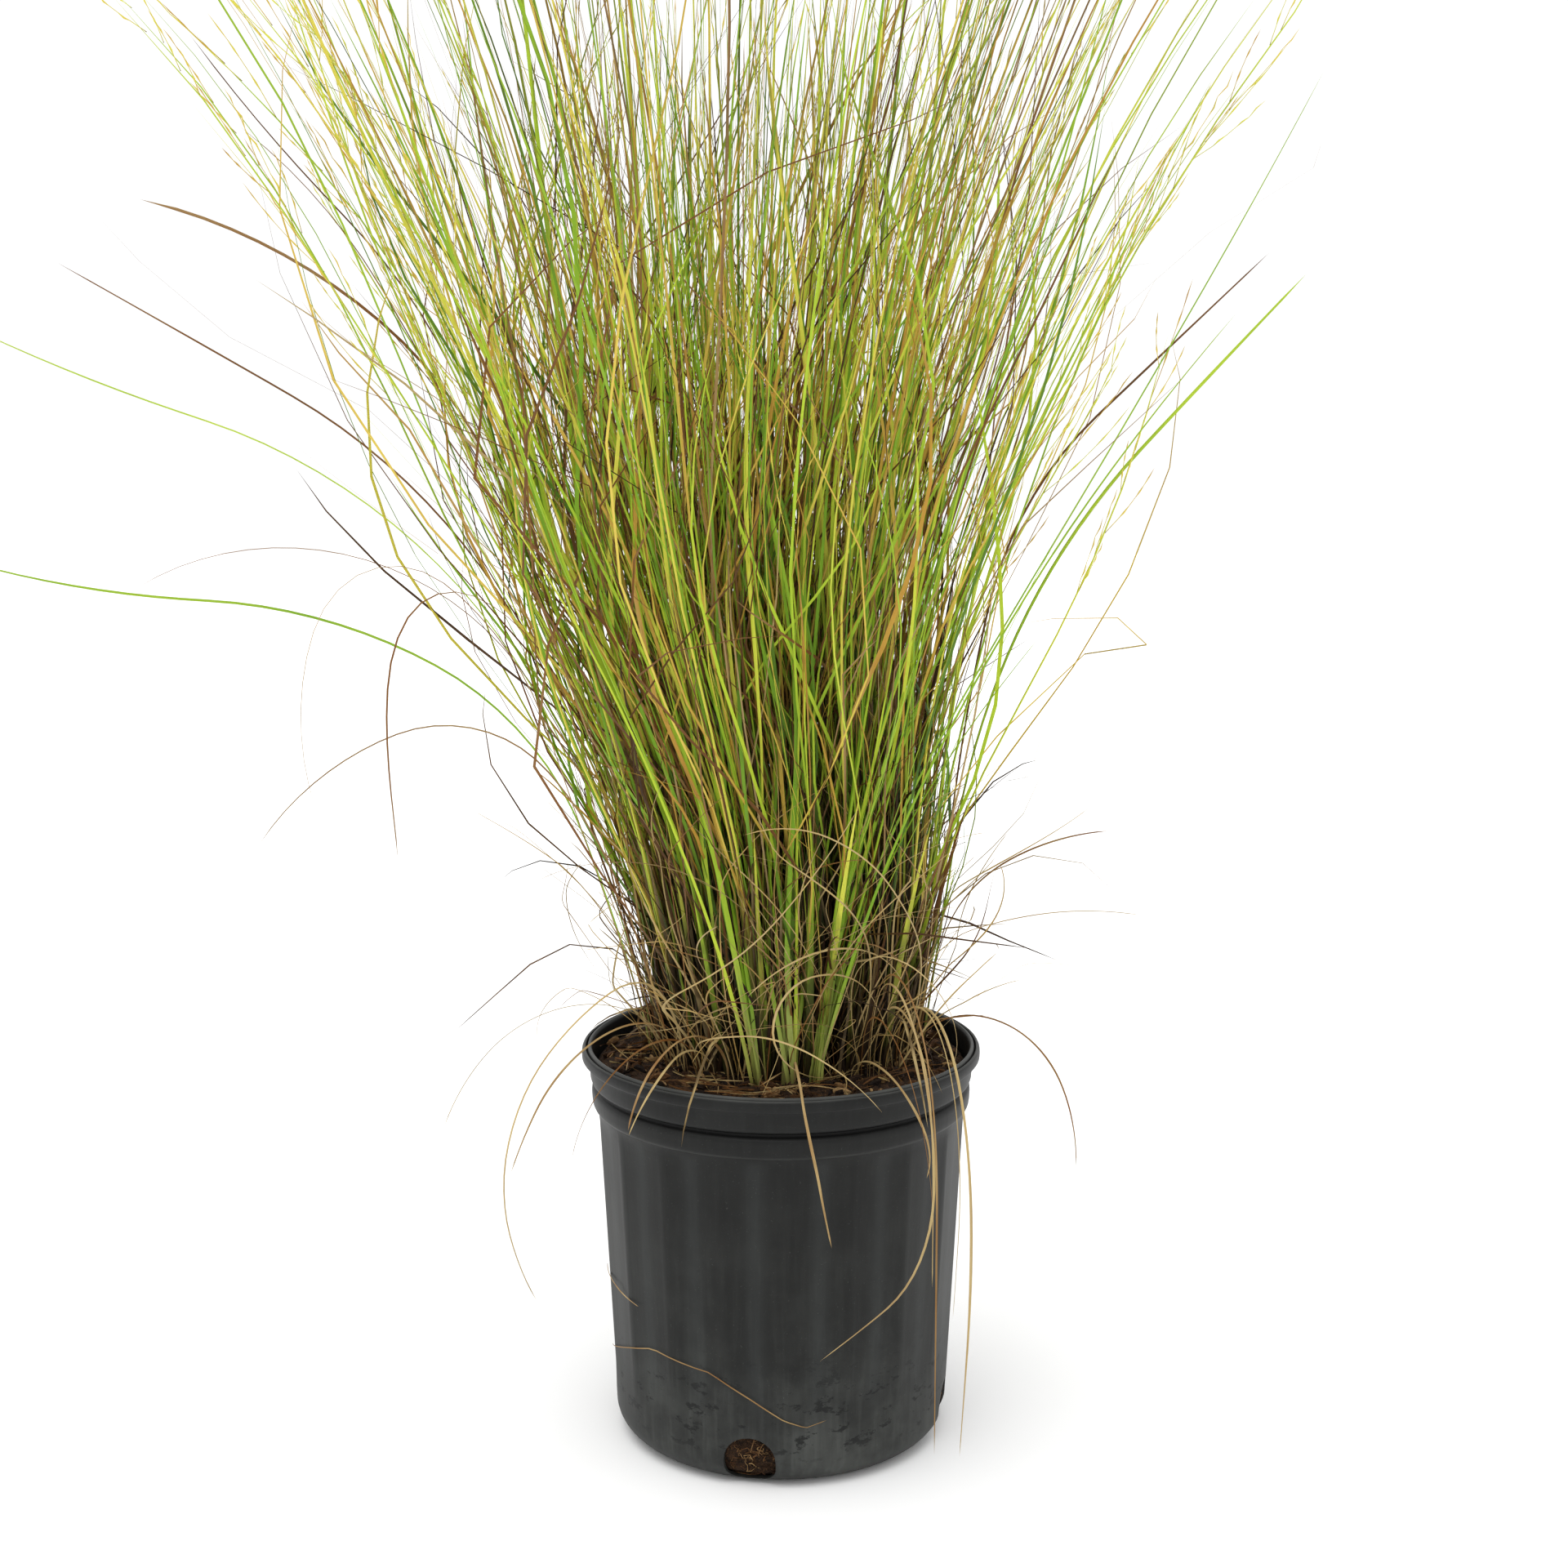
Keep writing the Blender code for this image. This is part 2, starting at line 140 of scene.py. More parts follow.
class Finish:
    """A material with a Principled shader, and one way to add any node to it."""

    def __init__(self, name):
        self.material = bpy.data.materials.new(name)
        self.material.use_nodes = True
        self.nodes = self.material.node_tree.nodes
        self.links = self.material.node_tree.links
        self.shader = self.nodes["Principled BSDF"]

    def connect(self, socket, value):
        """Link a wire to a socket, or set a plain value on it."""
        if isinstance(value, Wire):
            self.links.new(value.socket, socket)
        else:
            socket.default_value = value

    def node(self, kind, settings=None, inputs=None, output=0):
        """Add a node: its settings first, then the values or wires of its sockets."""
        made = self.nodes.new(kind)
        for name, value in (settings or {}).items():
            if name == "stops":
                ramp = made.color_ramp
                while len(ramp.elements) < len(value):
                    ramp.elements.new(0.5)
                for element, (place, colour) in zip(ramp.elements, value):
                    element.position = place
                    element.color = colour
            else:
                setattr(made, name, value)
        for key, value in (inputs or {}).items():
            self.connect(made.inputs[key], value)
        return Wire(self, made.outputs[output])

    def place(self):
        """The point on the object, in metres."""
        return self.node("ShaderNodeTexCoord", output="Object")

    def noise(self, scale, vector=None, detail=2.0, roughness=0.5):
        inputs = {"Scale": scale, "Detail": detail, "Roughness": roughness, "Vector": vector or self.place()}
        return self.node("ShaderNodeTexNoise", {}, inputs)

    def stretched(self, vector, scale):
        """A vector whose three parts are scaled on their own."""
        return self.node("ShaderNodeVectorMath", {"operation": "MULTIPLY"}, {0: vector, 1: scale})

    def mix(self, share, first, second, blend="MIX"):
        """Mix two colours."""
        settings = {"data_type": "RGBA", "blend_type": blend}
        return self.node("ShaderNodeMix", settings, {0: share, 6: first, 7: second}, output=2)

    def bump(self, height, distance, strength=1.0):
        return self.node("ShaderNodeBump", {}, {"Height": height, "Distance": distance, "Strength": strength})

    def give(self, **inputs):
        """Feed the shader. An underscore in a name stands for a blank."""
        for name, value in inputs.items():
            self.connect(self.shader.inputs[name.replace("_", " ")], value)
        return self.material


print("Mid grey of 128 is", round(linear(128, 128, 128)[0], 3), "in linear light")

# %% [markdown]
# ## The studio
# The photograph is a catalogue picture on white. A wide white floor and a white world give that ground, and a broad
# soft sun high above gives the leaves a lit side and leaves the foot of the clump in its own shade. The world lights
# the plant a little less than the camera sees it, so that the ground is clean white while the leaves keep their
# shade.

# %% World, floor and sun
WORLD_LIGHT = 0.98
SUN_STRENGTH = 1.5
SUN_TURN = math.radians(-35)
SUN_TILT = math.radians(14)

world = bpy.data.worlds.new("white studio")
world.use_nodes = True
bpy.context.scene.world = world
world_nodes = world.node_tree.nodes
ray = world_nodes.new("ShaderNodeLightPath")
strength = world_nodes.new("ShaderNodeMapRange")
strength.inputs["To Min"].default_value = WORLD_LIGHT
strength.inputs["To Max"].default_value = 1.05
world.node_tree.links.new(ray.outputs["Is Camera Ray"], strength.inputs["Value"])
world.node_tree.links.new(strength.outputs["Result"], world_nodes["Background"].inputs["Strength"])
world_nodes["Background"].inputs["Color"].default_value = (1.0, 1.0, 1.0, 1.0)

bpy.ops.object.select_all(action="DESELECT")
bpy.ops.mesh.primitive_plane_add(size=14.0, location=(0.0, 0.0, -0.0004))
floor = bpy.context.object
floor.name = "floor"
paper = Finish("floor paper")
grain = paper.noise(3.0, detail=3.0)
paper.give(
    Base_Color=paper.mix(grain, linear(246, 246, 245), linear(249, 249, 249)),
    Roughness=grain.fade(0.2, 0.8, 0.85, 0.95),
    Specular_IOR_Level=0.1,
)
floor.data.materials.append(paper.material)
floor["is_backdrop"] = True

sun_data = bpy.data.lights.new("soft sun", "SUN")
sun_data.energy = SUN_STRENGTH
sun_data.angle = math.radians(50)
sun = bpy.data.objects.new("soft sun", sun_data)
sun.rotation_euler = (SUN_TILT, 0.0, SUN_TURN)
bpy.context.scene.collection.objects.link(sun)

bpy.context.scene.view_settings.view_transform = "Standard"
print("The floor is", floor.dimensions.x, "m wide")

# %% [markdown]
# ## Helpers for modelling by hand
# Every new piece starts from a primitive and is shaped in edit mode. These helpers keep the steps short: they start
# from a clean selection, pick vertices by where they are, and hand a finished piece to the frame.

# %% Edit-mode helpers
def start_clean():
    """Nothing selected, so that an operator acts only on what is added next."""
    if bpy.context.object and bpy.context.object.mode != "OBJECT":
        bpy.ops.object.mode_set(mode="OBJECT")
    bpy.ops.object.select_all(action="DESELECT")


def pick(kind, wanted):
    """In edit mode, select only the vertices, edges or faces that the test wants. Returns how many."""
    bm = bmesh.from_edit_mesh(bpy.context.object.data)
    for group in (bm.faces, bm.edges, bm.verts):
        for item in group:
            item.select = False
    chosen = [item for item in getattr(bm, kind) if wanted(item)]
    for item in chosen:
        item.select_set(True)
    bm.select_flush_mode()
    bmesh.update_edit_mesh(bpy.context.object.data)
    return len(chosen)


def apply_place():
    """Move an object's place, turn and size into its mesh."""
    bpy.ops.object.transform_apply(location=True, rotation=True, scale=True)


def apply_modifiers(piece):
    bpy.context.view_layer.objects.active = piece
    for modifier in list(piece.modifiers):
        bpy.ops.object.modifier_apply(modifier=modifier.name)


def hand_over(piece, slot, *nodes):
    """Hang a finished piece on the root body and hide the CAD nodes that it stands for. The slot, its finish, is not
    used.
    """
    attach(piece, "root")
    if nodes:
        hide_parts(*nodes)


def draw_rings(name, segments, outline):
    """Draw a circle up along an outline of radius and height, and close both ends."""
    start_clean()
    radius, height = outline[0]
    bpy.ops.mesh.primitive_circle_add(vertices=segments, radius=radius, location=(0.0, 0.0, height))
    piece = bpy.context.object
    piece.name = piece.data.name = name
    bpy.ops.object.mode_set(mode="EDIT")
    bpy.ops.mesh.select_all(action="SELECT")
    for next_radius, next_height in outline[1:]:
        bpy.ops.mesh.extrude_region_move(TRANSFORM_OT_translate={"value": (0.0, 0.0, next_height - height)})
        grow = next_radius / radius
        bpy.ops.transform.resize(value=(grow, grow, 1.0))
        radius, height = next_radius, next_height
    bpy.ops.mesh.select_all(action="SELECT")
    bpy.ops.mesh.fill_holes(sides=0)
    bpy.ops.mesh.select_all(action="SELECT")
    bpy.ops.mesh.normals_make_consistent(inside=False)
    bpy.ops.object.mode_set(mode="OBJECT")
    apply_place()
    print(name, "has", len(piece.data.vertices), "points on", len(outline), "rings")
    return piece


# %% [markdown]
# ## The pot
# A nursery pot is blown into a mould from a soft tube of plastic, so every edge is round and the wall is thin. Its
# lip is rolled, two bands stiffen the top, and shallow flutes run down the wall and fade out above the foot. A
# lathe outline gives all of that but the flutes and the holes: one circle is extruded up the outside, over the lip
# and down the inside. It has 12 columns to a flute, so the flutes can be pressed in smoothly afterwards.

# %% Pot sizes
FLUTES = 18
COLUMNS = 12
FLUTE_DEPTH = 0.0016
RIDGE_TURN = math.radians(2)
WALL_TOP = 0.2153
WALL_TOP_RADIUS = 0.1174
WALL_FOOT_RADIUS = 0.1065
CORNER_RADIUS = 0.018


def wall_radius(z):
    """The wall's radius at a ridge."""
    return WALL_FOOT_RADIUS + (WALL_TOP_RADIUS - WALL_FOOT_RADIUS) * z / WALL_TOP


corner_middle = wall_radius(CORNER_RADIUS) - CORNER_RADIUS
pot_foot = [
    (corner_middle + CORNER_RADIUS * math.sin(math.radians(a)), CORNER_RADIUS * (1 - math.cos(math.radians(a))))
    for a in range(0, 91, 10)
]
pot_wall = [(wall_radius(z), z) for z in (0.024, 0.030, 0.037, 0.045, 0.053, 0.062, 0.100, 0.150, 0.190, 0.203, 0.209)]
pot_bands = [
    (0.1174, 0.2145), (0.1183, 0.2157), (0.1196, 0.2166), (0.1203, 0.2182), (0.1207, 0.2210), (0.1209, 0.2250),
    (0.1207, 0.2272), (0.1200, 0.2283), (0.1186, 0.2291), (0.1176, 0.2300), (0.1174, 0.2308), (0.1178, 0.2316),
    (0.1196, 0.2322), (0.1211, 0.2332), (0.1217, 0.2350), (0.1220, 0.2390), (0.1222, 0.2430), (0.1223, 0.2452),
    (0.1229, 0.2462),
]
pot_lip = [
    (0.1245, 0.2465), (0.1261, 0.2468), (0.1269, 0.2478), (0.1270, 0.2500), (0.1268, 0.2522), (0.1262, 0.2535),
    (0.1254, 0.2540), (0.1246, 0.2537), (0.1241, 0.2526), (0.1238, 0.2514), (0.1235, 0.2526), (0.1230, 0.2542),
    (0.1222, 0.2550), (0.1213, 0.2549), (0.1206, 0.2540), (0.1202, 0.2524), (0.1200, 0.2500),
]
pot_inside = [
    (0.1190, 0.2400), (0.1164, 0.2330), (0.1162, 0.2300), (0.1168, 0.2200), (0.1155, 0.2165), (0.1138, 0.2150),
    (0.1085, 0.1000), (0.1040, 0.0180),
    (0.1013, 0.0076), (0.0960, 0.0040), (0.0885, 0.0022),
]
pot = draw_rings("nursery_pot", FLUTES * COLUMNS, pot_foot + pot_wall + pot_bands + pot_lip + pot_inside)

# %% [markdown]
# ## Pressing the flutes
# Each flute is a shallow hollow between two narrow ridges. Column by column, the wall's points are scaled in
# towards the axis, most in the middle of a flute. The same depth serves the columns at the same distance on both
# sides of the middle. At the foot and under the bands the hollows fade out.

# %% Flutes
FADE_LOW, FADE_FULL, FADE_TOP = 0.022, 0.062, 0.2145

bpy.context.view_layer.objects.active = pot
bpy.ops.object.mode_set(mode="EDIT")
bpy.ops.mesh.select_mode(type="VERT")


def column(vertex):
    """Which column of its flute a point is in, counted from the nearer ridge."""
    place = round(math.atan2(vertex.co.x, vertex.co.y) / (2 * math.pi / (FLUTES * COLUMNS))) % COLUMNS
    return min(place, COLUMNS - place)


pressed = 0
for _, height in pot_wall + pot_bands[:1]:
    share = min(1.0, (height - FADE_LOW) / (FADE_FULL - FADE_LOW), (FADE_TOP - height) / 0.010)
    if share <= 0:
        continue
    for distance in range(1, COLUMNS // 2 + 1):
        hollow = math.sin(math.pi * distance / COLUMNS) ** 0.75
        inwards = 1 - FLUTE_DEPTH * share * hollow / wall_radius(height)
        pressed += pick("verts", lambda v: abs(v.co.z - height) < 1e-5 and column(v) == distance
                        and v.co.xy.length > wall_radius(height) - 0.0005)
        bpy.ops.transform.resize(value=(inwards, inwards, 1.0), center_override=(0.0, 0.0, height))
bpy.ops.object.mode_set(mode="OBJECT")
print("Pressed", pressed, "points of the wall in")

# %% [markdown]
# ## Drain holes
# Four holes are punched through the rounded corner, wider than high, with rounder tops than feet. Each cutter is a
# block whose four long edges are bevelled, and a Boolean modifier takes it out of the wall.

# %% Drain holes
HOLES = 4
HOLE_TURN = math.radians(-100.4)
HOLE_LOW, HOLE_HIGH, HOLE_WIDTH = 0.0034, 0.0330, 0.0325

for index in range(HOLES):
    turn = HOLE_TURN + index * math.pi / 2 - RIDGE_TURN
    spot = (WALL_FOOT_RADIUS * math.cos(turn), WALL_FOOT_RADIUS * math.sin(turn), (HOLE_LOW + HOLE_HIGH) / 2)
    start_clean()
    bpy.ops.mesh.primitive_cube_add(size=1.0, location=spot, rotation=(0.0, 0.0, turn))
    cutter = bpy.context.object
    cutter.scale = (2 * CORNER_RADIUS, HOLE_WIDTH, HOLE_HIGH - HOLE_LOW)
    bpy.ops.object.transform_apply(location=False, rotation=False, scale=True)
    bpy.ops.object.mode_set(mode="EDIT")
    for top, rounding in ((True, 0.0158), (False, 0.0100)):
        pick("edges", lambda e: abs((e.verts[0].co - e.verts[1].co).x) > CORNER_RADIUS
             and abs(e.verts[0].co.y) > 0.45 * HOLE_WIDTH
             and e.verts[0].co.z * (1 if top else -1) > 0.45 * (HOLE_HIGH - HOLE_LOW))
        bpy.ops.mesh.bevel(offset=rounding, segments=7, affect="EDGES")
    bpy.ops.object.mode_set(mode="OBJECT")
    cut = pot.modifiers.new("drain hole", "BOOLEAN")
    cut.object = cutter
    cut.solver = "EXACT"
    bpy.context.view_layer.objects.active = pot
    bpy.ops.object.modifier_apply(modifier=cut.name)
    bpy.data.objects.remove(cutter)

start_clean()
pot.select_set(True)
bpy.context.view_layer.objects.active = pot
pot.rotation_euler.z = RIDGE_TURN
apply_place()
edge = pot.modifiers.new("worn hole edge", "BEVEL")
edge.width = 0.0008
edge.segments = 2
edge.limit_method = "ANGLE"
edge.angle_limit = math.radians(55)
apply_modifiers(pot)
bpy.ops.object.shade_smooth_by_angle(angle=math.radians(40))
print("The pot with its holes has", len(pot.data.polygons), "faces")

# %% [markdown]
# ## Black plastic that has stood outside
# Blown polyethylene is charcoal rather than black. Watering leaves a pale bloom on it, most towards the foot and in
# the hollows, with dark smears where it was touched; the bloom and the smears are noise at the scale of the real
# marks. Light and shade are painted on as well: a painted highlight down each ridge, from a mask worked out from the
# angle about the pot's axis, painted shade on the upper wall, a painted shadow in the groove between the bands, and
# a lighter line on the lower band edge and the lip's top that is partly rubbed and partly a painted highlight.

# %% Pot finish
plastic = Finish("dusty black plastic")
spot = plastic.node("ShaderNodeSeparateXYZ", {}, {0: plastic.place()})
spot_y = Wire(plastic, spot.socket.node.outputs[1])
height = Wire(plastic, spot.socket.node.outputs[2])
angle = spot.maths("ARCTAN2", spot_y, spot)
# Painted highlight: a light stripe down each ridge, found from the angle about the pot's axis.
ridge_highlight = ((angle - RIDGE_TURN) * (FLUTES / 2)).sine()
ridge_highlight = (1 - ridge_highlight * ridge_highlight) ** 5 * height.fade(0.03, 0.07) * height.fade(0.209, 0.216, 1.0, 0.0)
clouds = plastic.noise(26.0, detail=4.0, roughness=0.6)
drips = plastic.noise(1.0, plastic.stretched(plastic.place(), (240.0, 240.0, 22.0)), detail=3.0)
specks = plastic.noise(900.0, detail=2.0)
low = height.fade(0.0, 0.11, 1.0, 0.0)
dust = (clouds.fade(0.35, 0.75) * 0.34 + drips.fade(0.4, 0.8) * 0.20) * (0.35 + low * 1.0) + low * 0.12
smears = plastic.noise(1.0, plastic.stretched(plastic.place(), (70.0, 70.0, 130.0)), detail=5.0, roughness=0.7)
smears = smears.fade(0.56, 0.62) * height.fade(0.012, 0.030) * height.fade(0.050, 0.100, 1.0, 0.0)
# A lighter line on the lower edge of the lower band and on the lip's top: partly rubbed wear, partly a painted
# highlight.
rubbed_and_highlight = height.fade(0.2150, 0.2160) * height.fade(0.2164, 0.2176, 1.0, 0.0) * 0.4 + height.fade(0.2528, 0.2545)
# Painted shadow: a near-black line in the groove between the two bands.
groove_shadow = height.fade(0.2284, 0.2294) * height.fade(0.2316, 0.2326, 1.0, 0.0)
colour = plastic.mix(dust, linear(22, 23, 22), linear(84, 86, 83))
# Painted shade: the wall is darkened from a tenth of a metre up towards the bands, as under the lip.
colour = plastic.mix(height.fade(0.10, 0.20) * 0.45, colour, linear(12, 12, 12))
colour = plastic.mix(ridge_highlight * 0.11, colour, linear(84, 88, 88))
colour = plastic.mix(rubbed_and_highlight * (0.10 + clouds * 0.35), colour, linear(118, 120, 116))
colour = plastic.mix(groove_shadow * 0.85, colour, linear(6, 6, 6))
colour = plastic.mix(smears * 0.8, colour, linear(14, 15, 15))
colour = plastic.mix(specks.fade(0.66, 0.78) * 0.12, colour, linear(120, 122, 118))
plastic.give(
    Base_Color=colour,
    Roughness=(0.46 + dust * 0.5).fade(0.3, 1.0, 0.40, 0.80),
    Specular_IOR_Level=0.20,
    Normal=plastic.bump(clouds * 0.5 + drips * 0.25 + specks * 0.06, 0.0006, 0.55),
)
pot.data.materials.clear()
pot.data.materials.append(plastic.material)
hand_over(pot, "pot_plastic", "pot")
print("The pot's finish has", len(plastic.nodes), "nodes")

# %% [markdown]
# ## The soil
# The root ball fills the pot to a finger's width under the lip. It is drawn the same way as the pot, its top is
# inset ring by ring so that it has points to move, and a Displace modifier lifts and lowers only those points.

# %% Soil
SOIL_TOP = 0.247
soil_outline = [
    (0.0880, 0.0025), (0.0955, 0.0045), (0.1006, 0.0082), (0.1035, 0.0185), (0.1055, 0.060), (0.1082, 0.110),
    (0.1108, 0.165), (0.1132, 0.2150), (0.1158, 0.2192), (0.1155, 0.2300), (0.1176, 0.2395), (0.1168, 0.2420),
    (0.1140, 0.2440), (0.1100, 0.2460), (0.1050, 0.2470),
]
soil = draw_rings("potting_soil", 144, soil_outline)
bpy.ops.object.mode_set(mode="EDIT")
pick("faces", lambda f: len(f.verts) > 4 and f.normal.z > 0.9)
for ring in range(20):
    bpy.ops.mesh.inset(thickness=0.005)
bpy.ops.object.mode_set(mode="OBJECT")
surface = soil.vertex_groups.new(name="surface")
surface.add([v.index for v in soil.data.vertices if v.co.z > 0.2400 and v.co.xy.length < 0.1165], 1.0, "REPLACE")
for size, lift in ((0.016, 0.0060), (0.004, 0.0028)):
    lumps = bpy.data.textures.new("soil lumps", "CLOUDS")
    lumps.noise_scale = size
    lumps.noise_depth = 3
    rough = soil.modifiers.new("lumps", "DISPLACE")
    rough.texture = lumps
    rough.texture_coords = "LOCAL"
    rough.direction = "Z"
    rough.strength = lift
    rough.mid_level = 0.62
    rough.vertex_group = "surface"
apply_modifiers(soil)
soil.vertex_groups.clear()
bpy.ops.object.shade_smooth_by_angle(angle=math.radians(60))
print("The soil's top lies between", round(min(v.co.z for v in soil.data.vertices if v.co.xy.length < 0.1), 4),
      "and", round(max(v.co.z for v in soil.data.vertices), 4))

# %% Soil and bark finishes
earth = Finish("peat and bark")
coarse = earth.noise(220.0, detail=5.0, roughness=0.65)
fine = earth.noise(1100.0, detail=3.0)
fibres = earth.noise(1.0, earth.stretched(earth.place(), (900.0, 240.0, 900.0)), detail=2.0)
colour = earth.mix(coarse.fade(0.35, 0.65), linear(24, 16, 11), linear(62, 43, 28))
colour = earth.mix(fibres.fade(0.58, 0.70) * 0.7, colour, linear(96, 68, 42))
colour = earth.mix(fine.fade(0.62, 0.72) * 0.6, colour, linear(18, 13, 10))
earth.give(Base_Color=colour, Roughness=fine.fade(0.3, 0.7, 0.85, 0.98),
           Normal=earth.bump(coarse + fine * 0.5 + fibres * 0.5, 0.0016), Specular_IOR_Level=0.2)
soil.data.materials.clear()
soil.data.materials.append(earth.material)
hand_over(soil, "potting_mix", "soil")

# %% [markdown]
# ## One leaf, modelled once
# A muhly leaf is a long narrow blade, folded along its middle. Its lowest part is a sheath that wraps the shoot, and
# it thins out to a hair. It is modelled once, one unit long and one unit wide: a square is folded into a shallow V
# and extruded up step by step, each step scaled to the blade's width there. The same helper makes the round stems
# and the threadlike branchlets of the flower heads. Two numbers on each point say how far across and how far along
# the leaf it is, so the finish can follow the leaf wherever it bends.

# %% Blanks
def draw_blank(name, corners, fold, steps):
    """Extrude a small polygon up through steps of (share of the length, width, depth) to a point."""
    start_clean()
    bpy.ops.mesh.primitive_circle_add(vertices=corners, radius=0.5, fill_type="NGON")
    blank = bpy.context.object
    bpy.ops.object.mode_set(mode="EDIT")
    if fold:
        pick("verts", lambda v: v.co.y > 0.4)
        bpy.ops.transform.translate(value=(0.0, fold - 0.5, 0.0))
        pick("verts", lambda v: v.co.y < -0.4)
        bpy.ops.transform.translate(value=(0.0, 0.1, 0.0))
    bpy.ops.mesh.select_all(action="SELECT")
    width, depth, along = 1.0, 1.0, 0.0
    for share, next_width, next_depth in steps:
        if share > along:
            bpy.ops.mesh.extrude_region_move(TRANSFORM_OT_translate={"value": (0.0, 0.0, share - along)})
        bpy.ops.transform.resize(value=(next_width / width, next_depth / depth, 1.0), center_override=(0.0, 0.0, share))
        width, depth, along = next_width, next_depth, share
    bpy.ops.mesh.extrude_region_move(TRANSFORM_OT_translate={"value": (0.0, 0.0, 1.0 - along)})
    bpy.ops.mesh.merge(type="CENTER")
    bpy.ops.mesh.select_all(action="SELECT")
    bpy.ops.mesh.normals_make_consistent(inside=False)
    bpy.ops.object.mode_set(mode="OBJECT")
    points = np.array([v.co for v in blank.data.vertices])
    faces = [tuple(p.vertices) for p in blank.data.polygons]
    widths = np.interp(points[:, 2], [s for s, _, _ in steps] + [1.0], [w for _, w, _ in steps] + [0.02])
    made = {"points": points, "faces": faces, "across": points[:, 0] / widths + 0.5, "along": points[:, 2]}
    bpy.data.objects.remove(blank)
    print(name, "has", len(faces), "faces")
    return made


LEAF_STEPS = [
    (0.00, 0.80, 0.90), (0.04, 0.92, 0.90), (0.10, 0.90, 0.70), (0.16, 0.84, 0.55), (0.24, 0.88, 0.45),
    (0.34, 0.96, 0.40), (0.45, 1.02, 0.38), (0.56, 1.04, 0.36), (0.66, 1.00, 0.34), (0.75, 0.92, 0.30),
    (0.84, 0.78, 0.25), (0.92, 0.54, 0.18),
]
DEAD_STEPS = [
    (0.00, 0.80, 0.60), (0.12, 1.00, 0.45), (0.26, 0.80, 0.35), (0.40, 0.95, 0.30), (0.54, 0.74, 0.30),
    (0.68, 0.84, 0.24), (0.82, 0.60, 0.20), (0.93, 0.40, 0.12),
]
SHOOT_STEPS = [
    (0.00, 0.90, 0.90), (0.06, 1.00, 0.80), (0.18, 0.90, 0.60), (0.32, 0.62, 0.45), (0.50, 0.52, 0.35),
    (0.70, 0.46, 0.30), (0.85, 0.36, 0.25), (0.95, 0.20, 0.18),
]
STEM_STEPS = [(s, 1.0 - 0.55 * s, 1.0 - 0.55 * s) for s in (0.0, 0.1, 0.2, 0.3, 0.4, 0.5, 0.6, 0.7, 0.8, 0.9)]
THREAD_STEPS = [
    (0.00, 0.45, 0.45), (0.26, 0.40, 0.40), (0.34, 1.00, 1.00), (0.44, 0.35, 0.35), (0.58, 0.35, 0.35),
    (0.66, 0.90, 0.90), (0.75, 0.30, 0.30), (0.86, 0.70, 0.70),
]
LONG_STEPS = [
    (0.00, 0.80, 0.90), (0.06, 1.00, 0.80), (0.20, 0.90, 0.60), (0.60, 1.00, 0.50), (0.85, 0.85, 0.40), (0.95, 0.55, 0.30),
]
STRAW_STEPS = [
    (0.00, 0.45, 0.45), (0.10, 0.70, 0.60), (0.30, 0.90, 0.55), (0.50, 0.80, 0.50), (0.65, 1.00, 0.50),
    (0.80, 0.80, 0.40), (0.92, 0.50, 0.30),
]
CHIP_STEPS = [(0.00, 0.60, 0.60), (0.25, 1.00, 1.00), (0.70, 0.80, 0.90)]
BLUNT_STEPS = [(0.00, 0.50, 0.80), (0.30, 0.55, 0.60), (0.60, 0.80, 0.50), (0.80, 1.00, 0.50), (0.96, 1.00, 0.40)]
SHEATH_STEPS = [(0.00, 0.80, 0.9), (0.15, 1.00, 0.9), (0.40, 0.95, 0.7), (0.62, 0.70, 0.5), (0.82, 0.40, 0.3)]


def finer(steps, count):
    """The same shape in more steps, for leaves that bend sharply."""
    shares = np.linspace(0.0, 0.965, count)
    known = np.array(steps)
    return [(s, np.interp(s, known[:, 0], known[:, 1]), np.interp(s, known[:, 0], known[:, 2])) for s in shares]


LEAF = draw_blank("leaf", 4, 0.16, LEAF_STEPS)
DEAD_LEAF = draw_blank("dead leaf", 4, 0.20, DEAD_STEPS)
FINE_LEAF = draw_blank("fine leaf", 4, 0.16, finer(LEAF_STEPS, 36))
FINE_DEAD_LEAF = draw_blank("fine dead leaf", 4, 0.20, finer(DEAD_STEPS, 36))
LONG_LEAF = draw_blank("long leaf", 4, 0.16, finer(LONG_STEPS, 36))
BLUNT_LEAF = draw_blank("blunt leaf", 4, 0.20, finer(BLUNT_STEPS, 36))
STRAW_LEAF = draw_blank("straw", 4, 0.22, finer(STRAW_STEPS, 36))
CHIP = draw_blank("chip of bark", 5, 0.0, CHIP_STEPS)
SHOOT = draw_blank("shoot", 4, 0.20, finer(SHOOT_STEPS, 24))
SHEATH = draw_blank("sheath", 4, 0.22, SHEATH_STEPS)
STEM = draw_blank("stem", 4, 0.0, STEM_STEPS)
THREAD = draw_blank("thread", 3, 0.0, THREAD_STEPS)


# %% [markdown]
# ## Laying leaves along lines
# Each leaf of the plant follows a line of its own. Blender's Bend would need a window, and it bends only in one
# plane, so copies of a blank are laid along lines by a small function instead: each ring of the blank goes to its
# share of the line, square to the line's direction, and turns a little on the way as a real leaf twists. It works
# on all leaves of a tuft at once.

# %% Lines and copies
LINE_POINTS = 33


def unit(vectors):
    return vectors / np.maximum(np.linalg.norm(vectors, axis=-1, keepdims=True), 1e-9)


def walk(roots, lengths, ways):
    """Lines that start at their roots and go the given ways, as many steps as there are ways."""
    steps = unit(ways) * (np.asarray(lengths)[:, None, None] / ways.shape[1])
    return np.concatenate([roots[:, None, :], roots[:, None, :] + np.cumsum(steps, axis=1)], axis=1)


